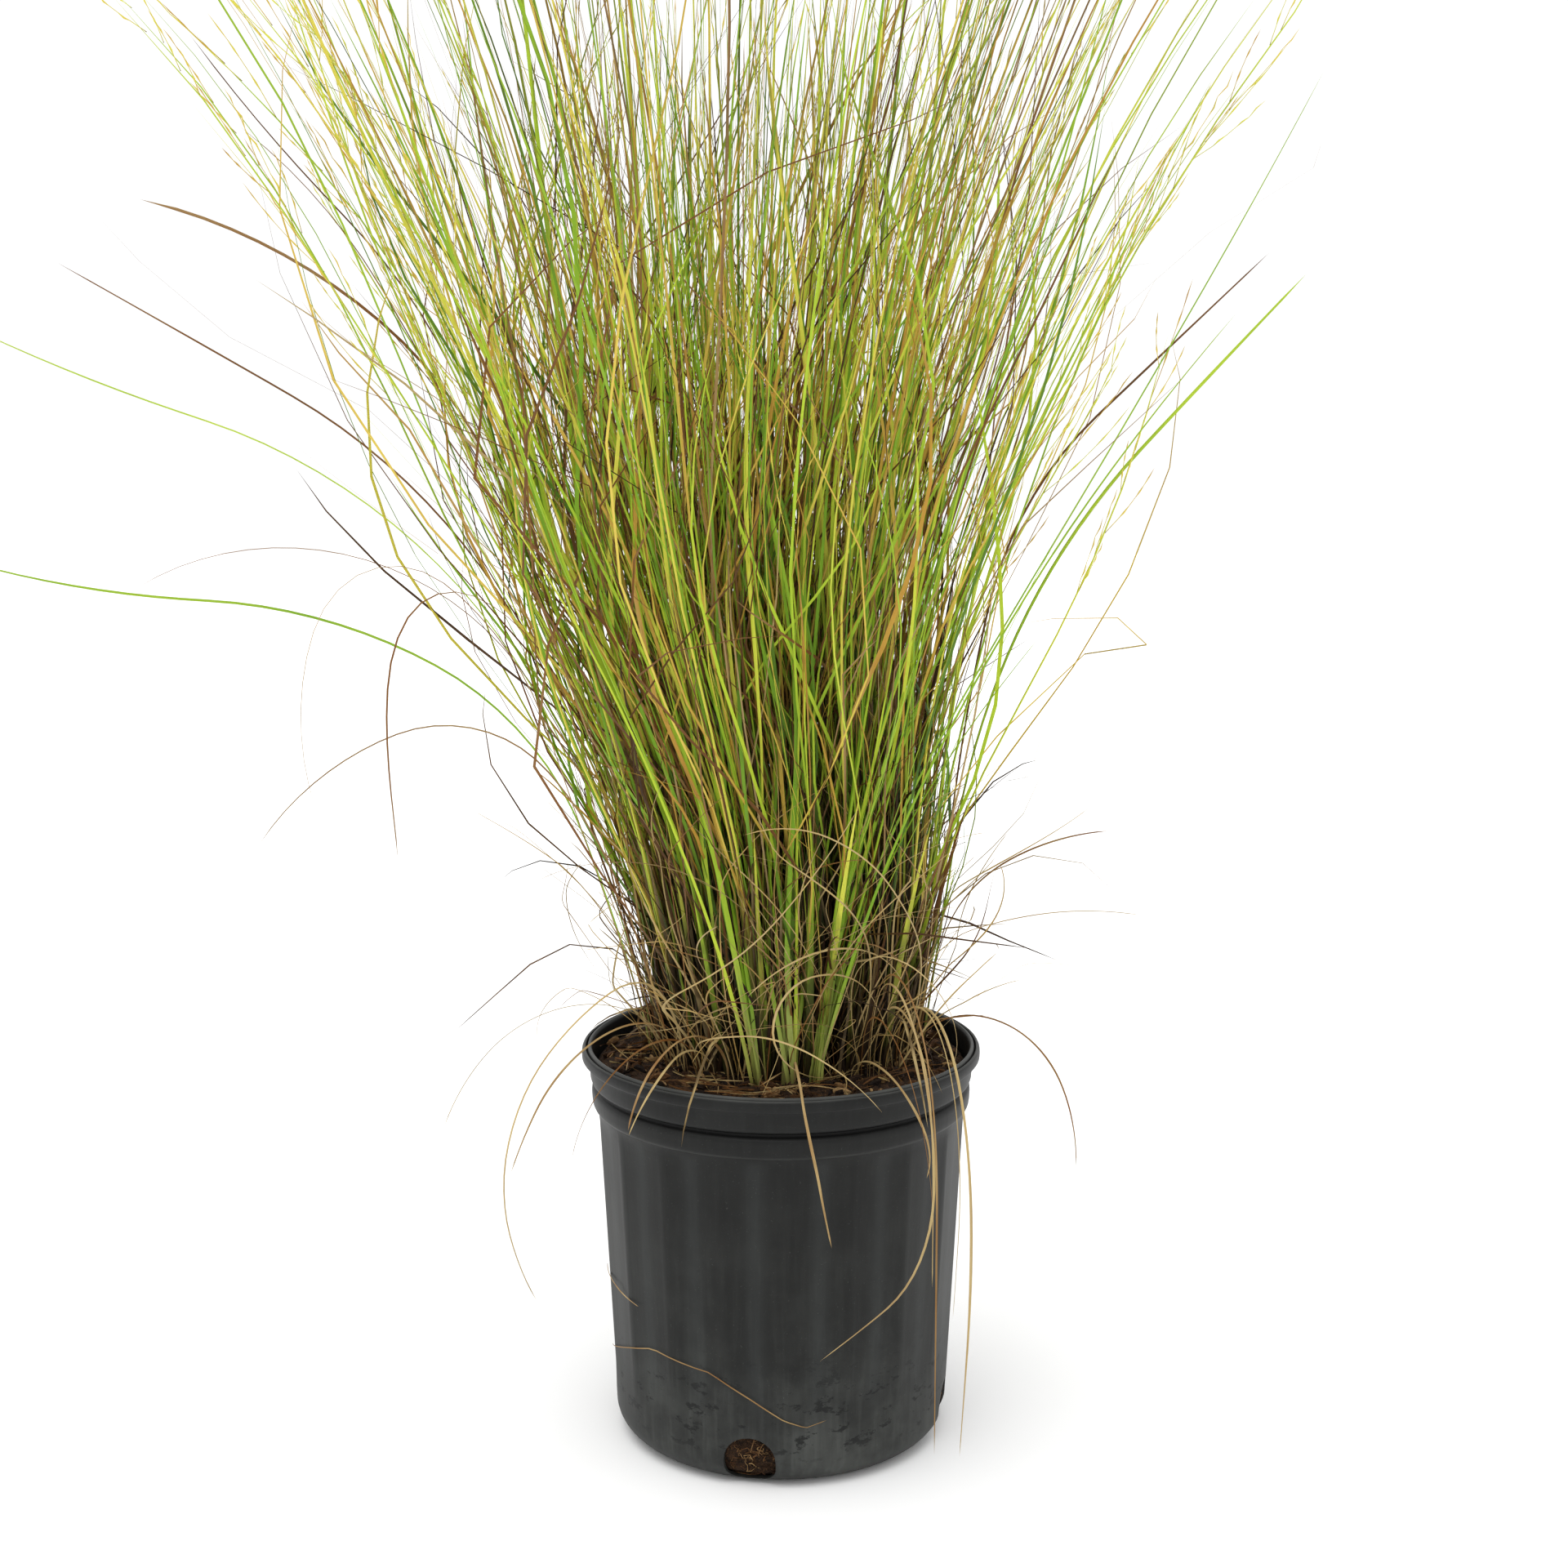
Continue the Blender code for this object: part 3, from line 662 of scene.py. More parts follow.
def ways_of(leans, headings, count=LINE_POINTS - 1):
    """Directions from stops of lean from upright and of heading, in degrees, one row for each leaf."""
    share = (np.arange(count) + 0.5) / count
    def read(stops):
        return np.radians([np.interp(share, np.linspace(0, 1, len(row)), row) for row in stops])
    lean, heading = read(leans), read(headings)
    return np.stack([np.sin(lean) * np.cos(heading), np.sin(lean) * np.sin(heading), np.cos(lean)], axis=-1)


def lay(blank, lines, widths, depths, facing, twist, hue, seed):
    """Copies of a blank, one along each line. Returns points, faces and the numbers that the finish reads."""
    lines = np.asarray(lines)
    count, last = lines.shape[0], lines.shape[1] - 1
    share = blank["points"][:, 2]
    rings, ring_of = np.unique(np.round(share, 5), return_inverse=True)
    whole = np.minimum((rings * last).astype(int), last - 1)
    part = (rings * last - whole)[None, :, None]
    place = lines[:, whole] * (1 - part) + lines[:, whole + 1] * part
    along = unit(lines[:, whole + 1] - lines[:, whole])
    side = unit(np.cross(along[:, 0], np.stack([np.cos(facing), np.sin(facing), np.zeros(count)], axis=-1)))
    sides = [side]
    for ring in range(1, len(rings)):
        side = unit(side - along[:, ring] * np.sum(side * along[:, ring], axis=-1, keepdims=True))
        sides.append(side)
    sides = np.stack(sides, axis=1)
    backs = np.cross(sides, along)
    turn = (np.asarray(twist)[:, None] * rings[None, :])[..., None]
    sides, backs = sides * np.cos(turn) + backs * np.sin(turn), backs * np.cos(turn) - sides * np.sin(turn)
    across = (blank["points"][:, 0] * np.asarray(widths)[:, None])[..., None]
    through = (blank["points"][:, 1] * np.asarray(depths)[:, None])[..., None]
    points = place[:, ring_of] + sides[:, ring_of] * across + backs[:, ring_of] * through
    size = len(share)
    faces = [tuple(i + size * copy for i in face) for copy in range(count) for face in blank["faces"]]
    marks = np.stack([np.tile(blank["across"], count), np.tile(blank["along"], count), np.repeat(seed, size)], axis=-1)
    return points.reshape(-1, 3), faces, marks, np.repeat(hue, size)


def join(name, bundles, finish):
    """One mesh object from several bundles of laid copies."""
    points, faces, marks, hues, total = [], [], [], [], 0
    for bundle_points, bundle_faces, bundle_marks, bundle_hues in bundles:
        points.append(bundle_points)
        faces.extend(tuple(i + total for i in face) for face in bundle_faces)
        marks.append(bundle_marks)
        hues.append(bundle_hues)
        total += len(bundle_points)
    mesh = bpy.data.meshes.new(name)
    mesh.from_pydata(np.concatenate(points).tolist(), [], faces)
    leaf = mesh.attributes.new("leaf", "FLOAT_VECTOR", "POINT")
    leaf.data.foreach_set("vector", np.concatenate(marks).astype(np.float32).ravel())
    hue = mesh.attributes.new("hue", "FLOAT", "POINT")
    hue.data.foreach_set("value", np.concatenate(hues).astype(np.float32))
    mesh.materials.append(finish)
    piece = bpy.data.objects.new(name, mesh)
    bpy.context.scene.collection.objects.link(piece)
    mesh.shade_smooth()
    mesh.set_sharp_from_angle(angle=math.radians(50))
    return piece


# %% [markdown]
# ## The colour of a leaf
# One number, its hue, says where a leaf stands between deep green and dead brown. A colour ramp turns that into the
# colours of a late summer muhly: green, lime, gold, straw, brown. The tip of every leaf is further along than its
# middle, its sheath is pale, and fine veins run along it.

# %% Grass finish
CROWN_MIDDLE = np.array([0.004, 0.018])
GRASS_STOPS = [
    (0.00, linear(62, 96, 26)), (0.14, linear(128, 174, 38)), (0.28, linear(190, 216, 56)),
    (0.40, linear(224, 224, 80)), (0.50, linear(232, 206, 90)), (0.60, linear(190, 144, 54)),
    (0.72, linear(194, 170, 118)), (0.84, linear(130, 84, 38)), (1.00, linear(52, 31, 13)),
]


def grass_finish(name, shift, rough, shade):
    """A leaf's finish. Shift moves it along the ramp, and shade sets how much painted shade darkens leaves inside, at
    the foot and high up.
    """
    made = Finish(name)
    leaf = made.node("ShaderNodeAttribute", {"attribute_name": "leaf"}, output="Vector")
    parts = made.node("ShaderNodeSeparateXYZ", {}, {0: leaf})
    across, along, seed = (Wire(made, parts.socket.node.outputs[i]) for i in range(3))
    hue = made.node("ShaderNodeAttribute", {"attribute_name": "hue"}, output="Fac")
    line = made.node("ShaderNodeCombineXYZ", {}, {0: seed * 90, 1: along * 7, 2: across * 0.4})
    drift = made.noise(1.0, line, detail=2.0)
    grain = made.noise(1.0, made.stretched(line, (1.0, 9.0, 12.0)), detail=2.0)
    living = hue.fade(0.45, 0.65, 1.0, 0.0)
    aged = hue + shift + along ** 3 * 0.06 * living + (drift - 0.5) * 0.16
    colour = made.node("ShaderNodeValToRGB", {"stops": GRASS_STOPS}, {0: aged})
    sheath = along.fade(0.03, 0.17, 1.0, 0.0) * living
    colour = made.mix(sheath * 0.65, colour, linear(176, 170, 104))
    colour = made.mix(along.fade(0.0, 0.035, 0.7, 0.0), colour, linear(82, 60, 36))
    vein = (across * (2 * math.pi * 5)).sine()
    colour = made.mix(vein.fade(-1.0, 1.0, 0.0, 0.16), colour, linear(60, 66, 20))
    colour = made.mix(grain.fade(0.60, 0.74) * 0.35, colour, linear(120, 88, 44))
    spot = made.node("ShaderNodeSeparateXYZ", {}, {0: made.place()})
    x, y, z = (Wire(made, spot.socket.node.outputs[i]) for i in range(3))
    x, y = x - CROWN_MIDDLE[0], y - CROWN_MIDDLE[1]
    # Painted shade: leaves close to the clump's middle, below about two thirds of a metre, are darkened to near black.
    inside = (x * x + y * y).fade(0.0060, 0.0115, 1.0, 0.0) * z.fade(0.32, 0.66, 1.0, 0.0)
    colour = made.mix(inside * 0.94 * shade, colour, linear(20, 14, 7))
    # Painted shade: near the top of the clump, leaves within about a quarter metre of the middle are darkened, some
    # more than others.
    high = (x * x + y * y).fade(0.02, 0.10, 1.0, 0.0) * z.fade(0.69, 0.84) * drift.fade(0.44, 0.54, 1.0, 0.1)
    colour = made.mix(high * 0.60 * shade, colour, linear(66, 50, 20))
    # Painted shade: every leaf is darkened towards the foot of the clump, some more than others.
    foot = z.fade(0.27, 0.42, 1.0, 0.0) * drift.fade(0.40, 0.60, 1.0, 0.3)
    colour = made.mix(foot * 0.80 * shade, colour, linear(44, 29, 15))
    made.give(
        Base_Color=colour,
        Roughness=grain.fade(0.2, 0.8, rough - 0.06, rough + 0.10),
        Specular_IOR_Level=0.25,
        Normal=made.bump(vein * 0.5 + grain * 0.5, 0.00012, 0.6),
    )
    return made.material


# Only the main grass finish carries the painted shade; the fresh and dry finishes have none.
GRASS = grass_finish("muhly grass", 0.0, 0.50, 1.0)
FRESH = grass_finish("fresh muhly leaf", -0.09, 0.44, 0.0)
STRAW = grass_finish("dry muhly leaf", 0.0, 0.62, 0.0)

# %% [markdown]
# ## How the clump fans out
# The CAD tufts stand in rings on the crown, and their leaves lean out more the further from the middle they are
# rooted. The same law and the same draws are repeated here, so one leaf of each shoot runs along its solid to its
# tip. The other leaves of the shoot start at the same place and wander off a little, which gives the plant its
# crossing lines. A third of them are last year's: thinner, brown, and some of them broken over.

# %% The law of the clump, as in the CAD model
CROWN = (("centre", 1, 0.0, 4), ("inner", 6, 0.0245, 4), ("middle", 12, 0.0490, 4), ("outer", 18, 0.0730, 5))
FIRST_LEAF_TURN = {4: -135, 5: -90}
LEAF_ROOT = 0.0058
CROWN_RADIUS = 0.080
INNER_LENGTH, OUTER_LENGTH, SHORTEST = 0.850, 0.800, 0.76
LEAN_AT_CROWN, LEAN_GAIN, LEAN_REACH, LEAN_POWER = 8.0, 32.0, 0.72, 1.3
SWAY, SWAY_FROM, SWAY_RISE = 0.035, 0.30, 0.30
FOOT_TOP = 0.0183


def sway(points):
    """The whole clump leans a little to the left as it rises."""
    rise = np.clip((points[..., 2] - SWAY_FROM) / SWAY_RISE, 0, 1)
    moved = points.copy()
    moved[..., 0] -= SWAY * rise * rise * (3 - 2 * rise)
    return moved


def leans_at(factor, distances):
    """How far a leaf leans from upright, in degrees, at distances from its root."""
    return factor * (LEAN_AT_CROWN + LEAN_GAIN * (distances / LEAN_REACH) ** LEAN_POWER)


def shoots_of(spot, leaves, chance):
    """The CAD leaves of a tuft: root, length, how much of the lean they take, heading at the foot and the tip."""
    from_middle = spot - CROWN_MIDDLE
    outwards = math.atan2(from_middle[1], from_middle[0])
    for index in range(leaves):
        turn = outwards + math.radians(FIRST_LEAF_TURN[leaves] - index * 360 / leaves)
        root = spot + LEAF_ROOT * np.array([math.cos(turn), math.sin(turn)])
        off = root - CROWN_MIDDLE
        share = math.hypot(*off) / CROWN_RADIUS
        length = (INNER_LENGTH + (OUTER_LENGTH - INNER_LENGTH) * share) * chance.uniform(SHORTEST, 1.0)
        factor = share * (1 + chance.uniform(-0.05, 0.05))
        heading = math.degrees(math.atan2(off[1], off[0]))
        yield root, length, factor, (heading, heading + chance.uniform(-4.0, 4.0))


def law_ways(factors, lengths, headings):
    """The ways of leaves that follow the clump's law, each as far as its own length. One row of headings a leaf."""
    share = (np.arange(LINE_POINTS - 1) + 0.5) / (LINE_POINTS - 1)
    lean = np.radians(leans_at(np.asarray(factors)[:, None], np.asarray(lengths)[:, None] * share))
    heading = np.radians([np.interp(share, [0, 1], row) for row in headings])
    return np.stack([np.sin(lean) * np.cos(heading), np.sin(lean) * np.sin(heading), np.cos(lean)], axis=-1)


# %% How many leaves, and how far they spread
SOIL_DIP = 0.0015
LIVING = {"centre": 8, "inner": 8, "middle": 8, "outer": 6}
DEAD = {"centre": 8, "inner": 8, "middle": 7, "outer": 6}
SCATTER = 0.26
FULL_LEAN, PAST_FULL = 0.45, 0.22
FOOT_LEAVES = {"centre": 6, "inner": 14, "middle": 24, "outer": 40}
STEMS = {"centre": 1, "inner": 1, "middle": 1, "outer": 2}
LEAF_WIDTH, DEAD_WIDTH = 0.0028, 0.0024


def keep_inside(lines):
    """Press lines gently back where they would make the clump wider or taller than its solids."""
    low, high = np.array(cad_low) + 0.005, np.array(cad_high) - 0.005
    inner = np.clip(lines, low, high)
    return inner + (lines - inner) * 0.10


def smooth(values):
    """Nought to one, easing in and out."""
    held = np.clip(values, 0, 1)
    return held * held * (3 - 2 * held)


def wander(ways, amount, bend, waves, draw):
    """Turn each line off its way: a little from the foot on, more along it, and in a slow wave of its own."""
    count, steps = ways.shape[:2]
    share = np.linspace(0, 1, steps)[None, :, None]
    off = draw.normal(0, 1, (3, count, 1, 2))
    wave = np.sin(share * draw.uniform(3.0, 8.0, (count, 1, 1)) + draw.uniform(0, 6.28, (count, 1, 1))) * smooth(share / 0.3)
    level = off[0] * amount + off[1] * bend * share + off[2] * waves * wave
    return unit(ways + np.concatenate([level, np.zeros(level.shape[:2] + (1,))], axis=-1))


def open_fan(ways, draw):
    """Leaves leave their shoot to two sides, one above the other, and lean away from it more and more."""
    count, steps = ways.shape[:2]
    bearing = draw.uniform(0, 6.28) + draw.normal(0, 0.5, count) + math.pi * (np.arange(count) % 2)
    away = np.tan(np.radians(1.0 + np.abs(draw.normal(0, 6.0, count))))
    leave = draw.uniform(0.02, 0.40, count)
    rise = smooth((np.linspace(0, 1, steps)[None, :] - leave[:, None]) / 0.45) * away[:, None]
    return unit(ways + np.stack([rise * np.cos(bearing)[:, None], rise * np.sin(bearing)[:, None], rise * 0], axis=-1))


def kink(ways, broken, draw):
    """Break some lines over: past a point, they go off aside and down."""
    count, steps = ways.shape[:2]
    at = draw.uniform(0.42, 0.88, count)
    aside = np.column_stack([draw.normal(0, 0.42, (count, 2)), -np.abs(draw.normal(0, 0.30, count))])
    past = smooth((np.linspace(0, 1, steps)[None, :] - at[:, None]) / 0.06) * broken[:, None]
    return unit(ways + aside[:, None, :] * past[..., None])


# %% Leaves of one tuft
def shoot_lines(shoot, ring, draw):
    """The lines of one shoot's leaves, and what each is: 0 the CAD leaf itself, 1 another living leaf, 2 a dead one."""
    root, length, factor, headings = shoot
    number = LIVING[ring] + DEAD[ring]
    dead = np.arange(number) >= LIVING[ring]
    aim = np.radians(headings[0])
    lean = factor * draw.uniform(0.1, 1.0, number)[:, None] * [[math.cos(aim), math.sin(aim)]]
    lean = lean + draw.normal(0, SCATTER, (number, 2)) + [0.06, 0.0]
    factors = np.linalg.norm(lean, axis=1)
    factors = np.minimum(factors, FULL_LEAN + PAST_FULL * np.maximum(factors - FULL_LEAN, 0))
    lengths = length * (0.26 + 0.74 * draw.uniform(0, 1, number) ** 1.3)
    bearings = np.degrees(np.arctan2(lean[:, 1], lean[:, 0]))
    turns = np.stack([bearings, bearings + draw.normal(0, 14, number)], axis=1)
    factors[0], lengths[0], turns[0] = factor, length, headings
    plain = law_ways(factors, lengths, turns)
    ways = wander(open_fan(plain, draw), 0.050, 0.110, 0.26, draw)
    loose = kink(wander(plain, 0.070, 0.160, 0.34, draw), draw.uniform(0, 1, number) < 0.50, draw)
    ways = np.where(dead[:, None, None], loose, ways)
    ways[:1] = wander(plain[:1], 0.006, 0.030, 0.05, draw)
    starts = np.column_stack([root + draw.normal(0, 0.0016, (number, 2)), np.full(number, SOIL_TOP - SOIL_DIP)])
    starts[0, :2] = root
    lengths[0] += FOOT_TOP
    return keep_inside(sway(walk(starts, lengths, ways))), np.where(dead, 2, 1) * (np.arange(number) > 0)


def lay_leaves(blank, lines, width, hues, draw):
    """Leaves of mixed widths and turns along lines, most of them narrow."""
    count = len(lines)
    widths = width * (0.36 + 0.64 * draw.uniform(0, 1, count) ** 1.3)
    return lay(blank, lines, widths, widths * 0.5, draw.uniform(0, 6.28, count), draw.normal(0, 1.5, count),
               np.clip(hues, 0, 1), draw.uniform(0, 1, count))


def tuft_leaves(shoots, ring, draw):
    lines, kind = (np.concatenate(part) for part in zip(*(shoot_lines(s, ring, draw) for s in shoots)))
    living, old = lines[kind < 2], lines[kind == 2]
    width = LEAF_WIDTH * np.where(kind[kind < 2] == 0, 0.66, 1.0)
    ages = draw.choice([0.05, 0.16, 0.27, 0.40, 0.57], len(living), p=[0.16, 0.22, 0.28, 0.12, 0.22])
    decay = draw.choice([0.58, 0.78, 0.86, 0.95], len(old), p=[0.28, 0.20, 0.30, 0.22])
    bundles = [lay_leaves(LEAF, living, width, ages + draw.normal(0, 0.04, len(living)), draw),
               lay_leaves(DEAD_LEAF, old, DEAD_WIDTH, decay + draw.normal(0, 0.03, len(old)), draw)]
    return bundles, living


def sheaths(shoots, each, draw):
    """Flat pale sheaths that wrap the foot of each shoot."""
    lines = []
    for root, length, factor, headings in shoots:
        lengths = draw.uniform(0.06, 0.20, each)
        ways = wander(law_ways([factor] * each, lengths, [headings] * each), 0.060, 0.05, 0.0, draw)
        starts = np.column_stack([root + draw.normal(0, 0.0018, (each, 2)), np.full(each, SOIL_TOP - SOIL_DIP)])
        lines.append(walk(starts, lengths, ways))
    lines = np.concatenate(lines)
    count = len(lines)
    hues = draw.choice([0.20, 0.36, 0.70, 0.86], count, p=[0.34, 0.26, 0.16, 0.24])
    return lay(SHEATH, lines, 0.0044 * draw.uniform(0.55, 1.05, count), np.full(count, 0.0022),
               draw.uniform(0, 6.28, count), draw.normal(0, 0.3, count), hues, draw.uniform(0, 1, count))


def foot_leaves(spot, share, count, draw):
    """The thatch around a tuft's foot: short dead leaves. Most stand, some curl over, a few sweep around the clump."""
    out = math.degrees(math.atan2(*(spot - CROWN_MIDDLE)[::-1]))
    fate = draw.uniform(0, 1, count)
    curled, sweeping = (fate < 0.10) * 1.0, (fate > 0.975) * share
    headings = out + draw.normal(0, 55 if share > 0.3 else 120, count)
    first = draw.uniform(-7, 11, count) * (0.4 + share)
    last = first + np.abs(draw.normal(0, 8, count)) + curled * draw.uniform(20, 120, count) + sweeping * 45
    leans = np.stack([first, first + (last - first) * 0.35, last, last + draw.normal(6, 22, count)], axis=1)
    turns = (draw.normal(0, 55, count) + draw.choice([-80, 80], count) * sweeping)[:, None] * [[0, 0.4, 1]]
    lengths = draw.choice([0.05, 0.08, 0.13, 0.19], count, p=[0.22, 0.32, 0.28, 0.18]) * draw.uniform(0.7, 1.3, count)
    lengths = lengths + sweeping * 0.07
    starts = np.column_stack([spot + draw.normal(0, 0.0070, (count, 2)), np.full(count, SOIL_TOP - SOIL_DIP)])
    lines = walk(starts, lengths, wander(ways_of(leans, headings[:, None] + turns), 0.05, 0.06, 0.14, draw))
    hues = draw.choice([0.68, 0.78, 0.88, 0.98], count, p=[0.26, 0.26, 0.26, 0.22]) + draw.normal(0, 0.03, count)
    return lay_leaves(DEAD_LEAF, lines, 0.0026, hues, draw)


# %% [markdown]
# ## Flower stems
# Between the leaves stand the flower stems: thin round culms whose upper half carries threadlike branchlets with a
# few thin spikelets on each. They lie close along the stem in golden zigzags.

# %% Flower stems of one tuft
BRANCHLETS = 11


def flower_stems(leaf_lines, count, draw):
    """Culms that follow some of the tuft's long leaves, each with its branchlets."""
    tallest = np.argsort(-leaf_lines[:, -1, 2])[: len(leaf_lines) // 3]
    lines = leaf_lines[draw.choice(tallest, count, replace=False)]
    reach = np.linspace(0, 1, LINE_POINTS)[None, :, None]
    return dress_stems(lines + draw.normal(0, 0.014, (count, 1, 3)) * [1, 1, 0.5] * reach, draw)


def dress_stems(lines, draw):
    """A round culm along each line, with zigzag branchlets on its upper half."""
    count = len(lines)
    stems = lay(STEM, lines, np.full(count, 0.0017), np.full(count, 0.0017), np.zeros(count), np.zeros(count),
                draw.uniform(0.18, 0.46, count), draw.uniform(0, 1, count))
    starts, ways, lengths = [], [], []
    for line in lines:
        for place in np.linspace(0.60, 0.97, BRANCHLETS) + draw.uniform(-0.015, 0.015, BRANCHLETS):
            at = place * (LINE_POINTS - 1)
            low = int(at)
            starts.append(line[low] + (line[low + 1] - line[low]) * (at - low))
            along = unit(line[low + 1] - line[low])
            aside = unit(np.cross(along, draw.normal(0, 1, 3)))
            bow = np.linspace(1.0, 0.35, 8)[:, None] * draw.uniform(0.10, 0.48)
            zigzag = np.array([1, -1, 1, -1, 1, -1, 1, -1])[:, None] * draw.normal(0, 0.08, 3)
            ways.append(along + aside * bow + zigzag)
            lengths.append(draw.uniform(0.035, 0.115) * (1.25 - 0.6 * place))
    twigs = keep_inside(walk(np.array(starts), lengths, np.array(ways)))
    number = len(twigs)
    threads = lay(THREAD, twigs, np.full(number, 0.0013), np.full(number, 0.0013), np.zeros(number), np.zeros(number),
                  draw.uniform(0.38, 0.56, number), draw.uniform(0, 1, number))
    return [stems, threads]


# %% [markdown]
# ## All the tufts
# At the very front of the crown the old thatch has been combed away, so three bunches of green shoots show there.
# Every other tuft keeps its thatch.

# %% Tufts
FRONT_EDGE = -0.047
chance = random.Random(11)
draw = np.random.default_rng(7)
grass_faces = 0
for ring, tufts, radius, leaves in CROWN:
    for index in range(tufts):
        turn = 2 * math.pi * (index + 0.5) / tufts - math.pi / 2
        spot = CROWN_MIDDLE + radius * np.array([math.cos(turn), math.sin(turn)])
        name = f"{ring}_{index + 1}" if tufts > 1 else ring
        shoots = list(shoots_of(spot, leaves, chance))
        bundles, lines = tuft_leaves(shoots, ring, draw)
        front = ring == "outer" and spot[1] < FRONT_EDGE
        thatch = round(FOOT_LEAVES[ring] * (0.35 if front else 1.0))
        bundles += [sheaths(shoots, 4 if front else 2, draw), foot_leaves(spot, radius / 0.073, thatch, draw)]
        bundles += flower_stems(lines, STEMS[ring], draw)
        tuft = join("grass_" + name, bundles, GRASS)
        hand_over(tuft, "grass", "tuft_" + name)
        grass_faces += len(tuft.data.polygons)
print("The tufts have", grass_faces, "faces")

# %% [markdown]
# ## Three bunches at the front
# Where the thatch is gone, three bunches of this year's shoots stand in front of the rest. Each shoot is a wide pale
# sheath below and a narrow blade above, and the bunch opens like a fan.

# %% Front shoots
FRONT_BUNCHES = ((-0.0125, -0.0655, -9.0, 11), (0.0045, -0.0670, 1.0, 10), (0.0215, -0.0665, 13.0, 20))
lines = []
for x, y, fan_middle, number in FRONT_BUNCHES:
    fan = fan_middle + draw.normal(0, 5.5, number)
    leans = np.stack([np.abs(fan) * s + 2.0 for s in (0.5, 0.9, 1.1, 1.4)], axis=1) + draw.normal(0, 1.5, (number, 4))
    headings = np.where(fan > 0, -12.0, 192.0)[:, None] + draw.normal(0, 14, (number, 2))
    starts = np.column_stack([x + draw.normal(0, 0.0024, number), y + draw.normal(0, 0.0024, number),
                              np.full(number, SOIL_TOP - SOIL_DIP)])
    lengths = draw.uniform(0.30, 0.72, number)
    lines.append(walk(starts, lengths, wander(ways_of(leans, headings), 0.02, 0.04, 0.06, draw)))
lines = keep_inside(np.concatenate(lines))
number = len(lines)
shoots = lay(SHOOT, lines, draw.uniform(0.0020, 0.0036, number), draw.uniform(0.0016, 0.0024, number),
             draw.uniform(0, 6.28, number), draw.normal(0, 0.8, number), draw.uniform(0.18, 0.42, number),
             draw.uniform(0, 1, number))
hand_over(join("front_shoots", [shoots], FRESH), "grass")
print("Laid", number, "shoots at the front")

# %% [markdown]
# ## Single leaves
# Some leaves stand away from the clump: long ones that arch out to both sides, thin ones that hang, and dead ones
# that bend over the rim. Each follows its CAD solid and is only finer and smoother.

# %% Single leaves
SINGLE_LEAVES = (
    ("long_leaf_left_1", 172, 0.675, (14, 18, 44, 72, 64), (186, 184, 176), 0.0020, 0.33),
    ("long_leaf_left_2", 188, 0.575, (14, 20, 60, 86, 72), (180, 190, 192), 0.0018, 0.26),
    ("long_leaf_left_3", 182, 0.520, (10, 14, 36, 78, 122), (188, 187, 186), 0.0015, 0.84),
    ("long_leaf_left_4", 152, 0.665, (16, 18, 15, 50, 77), (176, 175, 180), 0.0020, 0.82),
    ("long_leaf_left_5", 161, 0.650, (12, 18, 36, 60, 60), (172, 174, 186), 0.0014, 0.86),
    ("hanging_leaf_left_1", 197, 0.545, (16, 18, 18, 50, 156, 204), (184, 204, 245), 0.0012, 0.80),
    ("hanging_leaf_left_2", 206, 0.550, (16, 14, 14, 66, 168, 222), (196, 219, 278), 0.0012, 0.82),
    ("hanging_leaf_left_3", 216, 0.410, (14, 18, 40, 108, 144), (196, 202, 206), 0.0012, 0.80),
    ("long_leaf_right_1", 12, 0.560, (10, 6, 12, 46, 46), (0, -4, -6), 0.0018, 0.90),
    ("long_leaf_right_2", 350, 0.545, (8, 8, 24, 42, 43), (-4, -10, -18), 0.0024, 0.30),
    ("low_leaf_right", 340, 0.212, (8, 16, 56, 82), (334, 335, 340), 0.0013, 0.82),
    ("rim_leaf_front", 273, 0.172, (40, 80, 106, 152, 168, 168), (268, 278, 356), 0.0018, 0.77),
    ("rim_leaf_right_1", 305, 0.440, (12, 56, 104, 152, 202, 228, 228), (275, 283, 319), 0.0014, 0.75),
    ("rim_leaf_right_2", 322, 0.400, (16, 84, 140, 176, 196, 204), (285, 280, 271), 0.0018, 0.74),
    ("rim_leaf_left", 224, 0.340, (14, 44, 106, 132, 162, 200, 220), (250, 222, 250), 0.0024, 0.72),
    ("rim_leaf_front_left", 246, 0.128, (14, 60, 102, 136, 164), (232, 233, 230), 0.0026, 0.80),
    ("dry_straw_1", 234, 0.290, (30, 66, 60, 42, 36), (232, 272, 369, 392), 0.0022, 0.71),
    ("dry_straw_2", 327, 0.265, (20, 34, 42, 40, 64, 106), (297, 263, 211, 192), 0.0022, 0.71),
)
SINGLE_ROOT_RADIUS = 0.0885
BLUNT = ("long_leaf_left_4",)


def single_line(root_angle, length, leans, headings):
    """The line of a leaf that is rooted at the crown's edge."""
    turn = math.radians(root_angle)
    root = np.array([*(CROWN_MIDDLE + SINGLE_ROOT_RADIUS * np.array([math.cos(turn), math.sin(turn)])), SOIL_TOP + 0.006])
    line = walk(np.array([root]), [length], ways_of([leans], [headings]))[0]
    return np.concatenate([[root - [0.0, 0.0, 0.006 + SOIL_DIP]], line[1:]])[None]


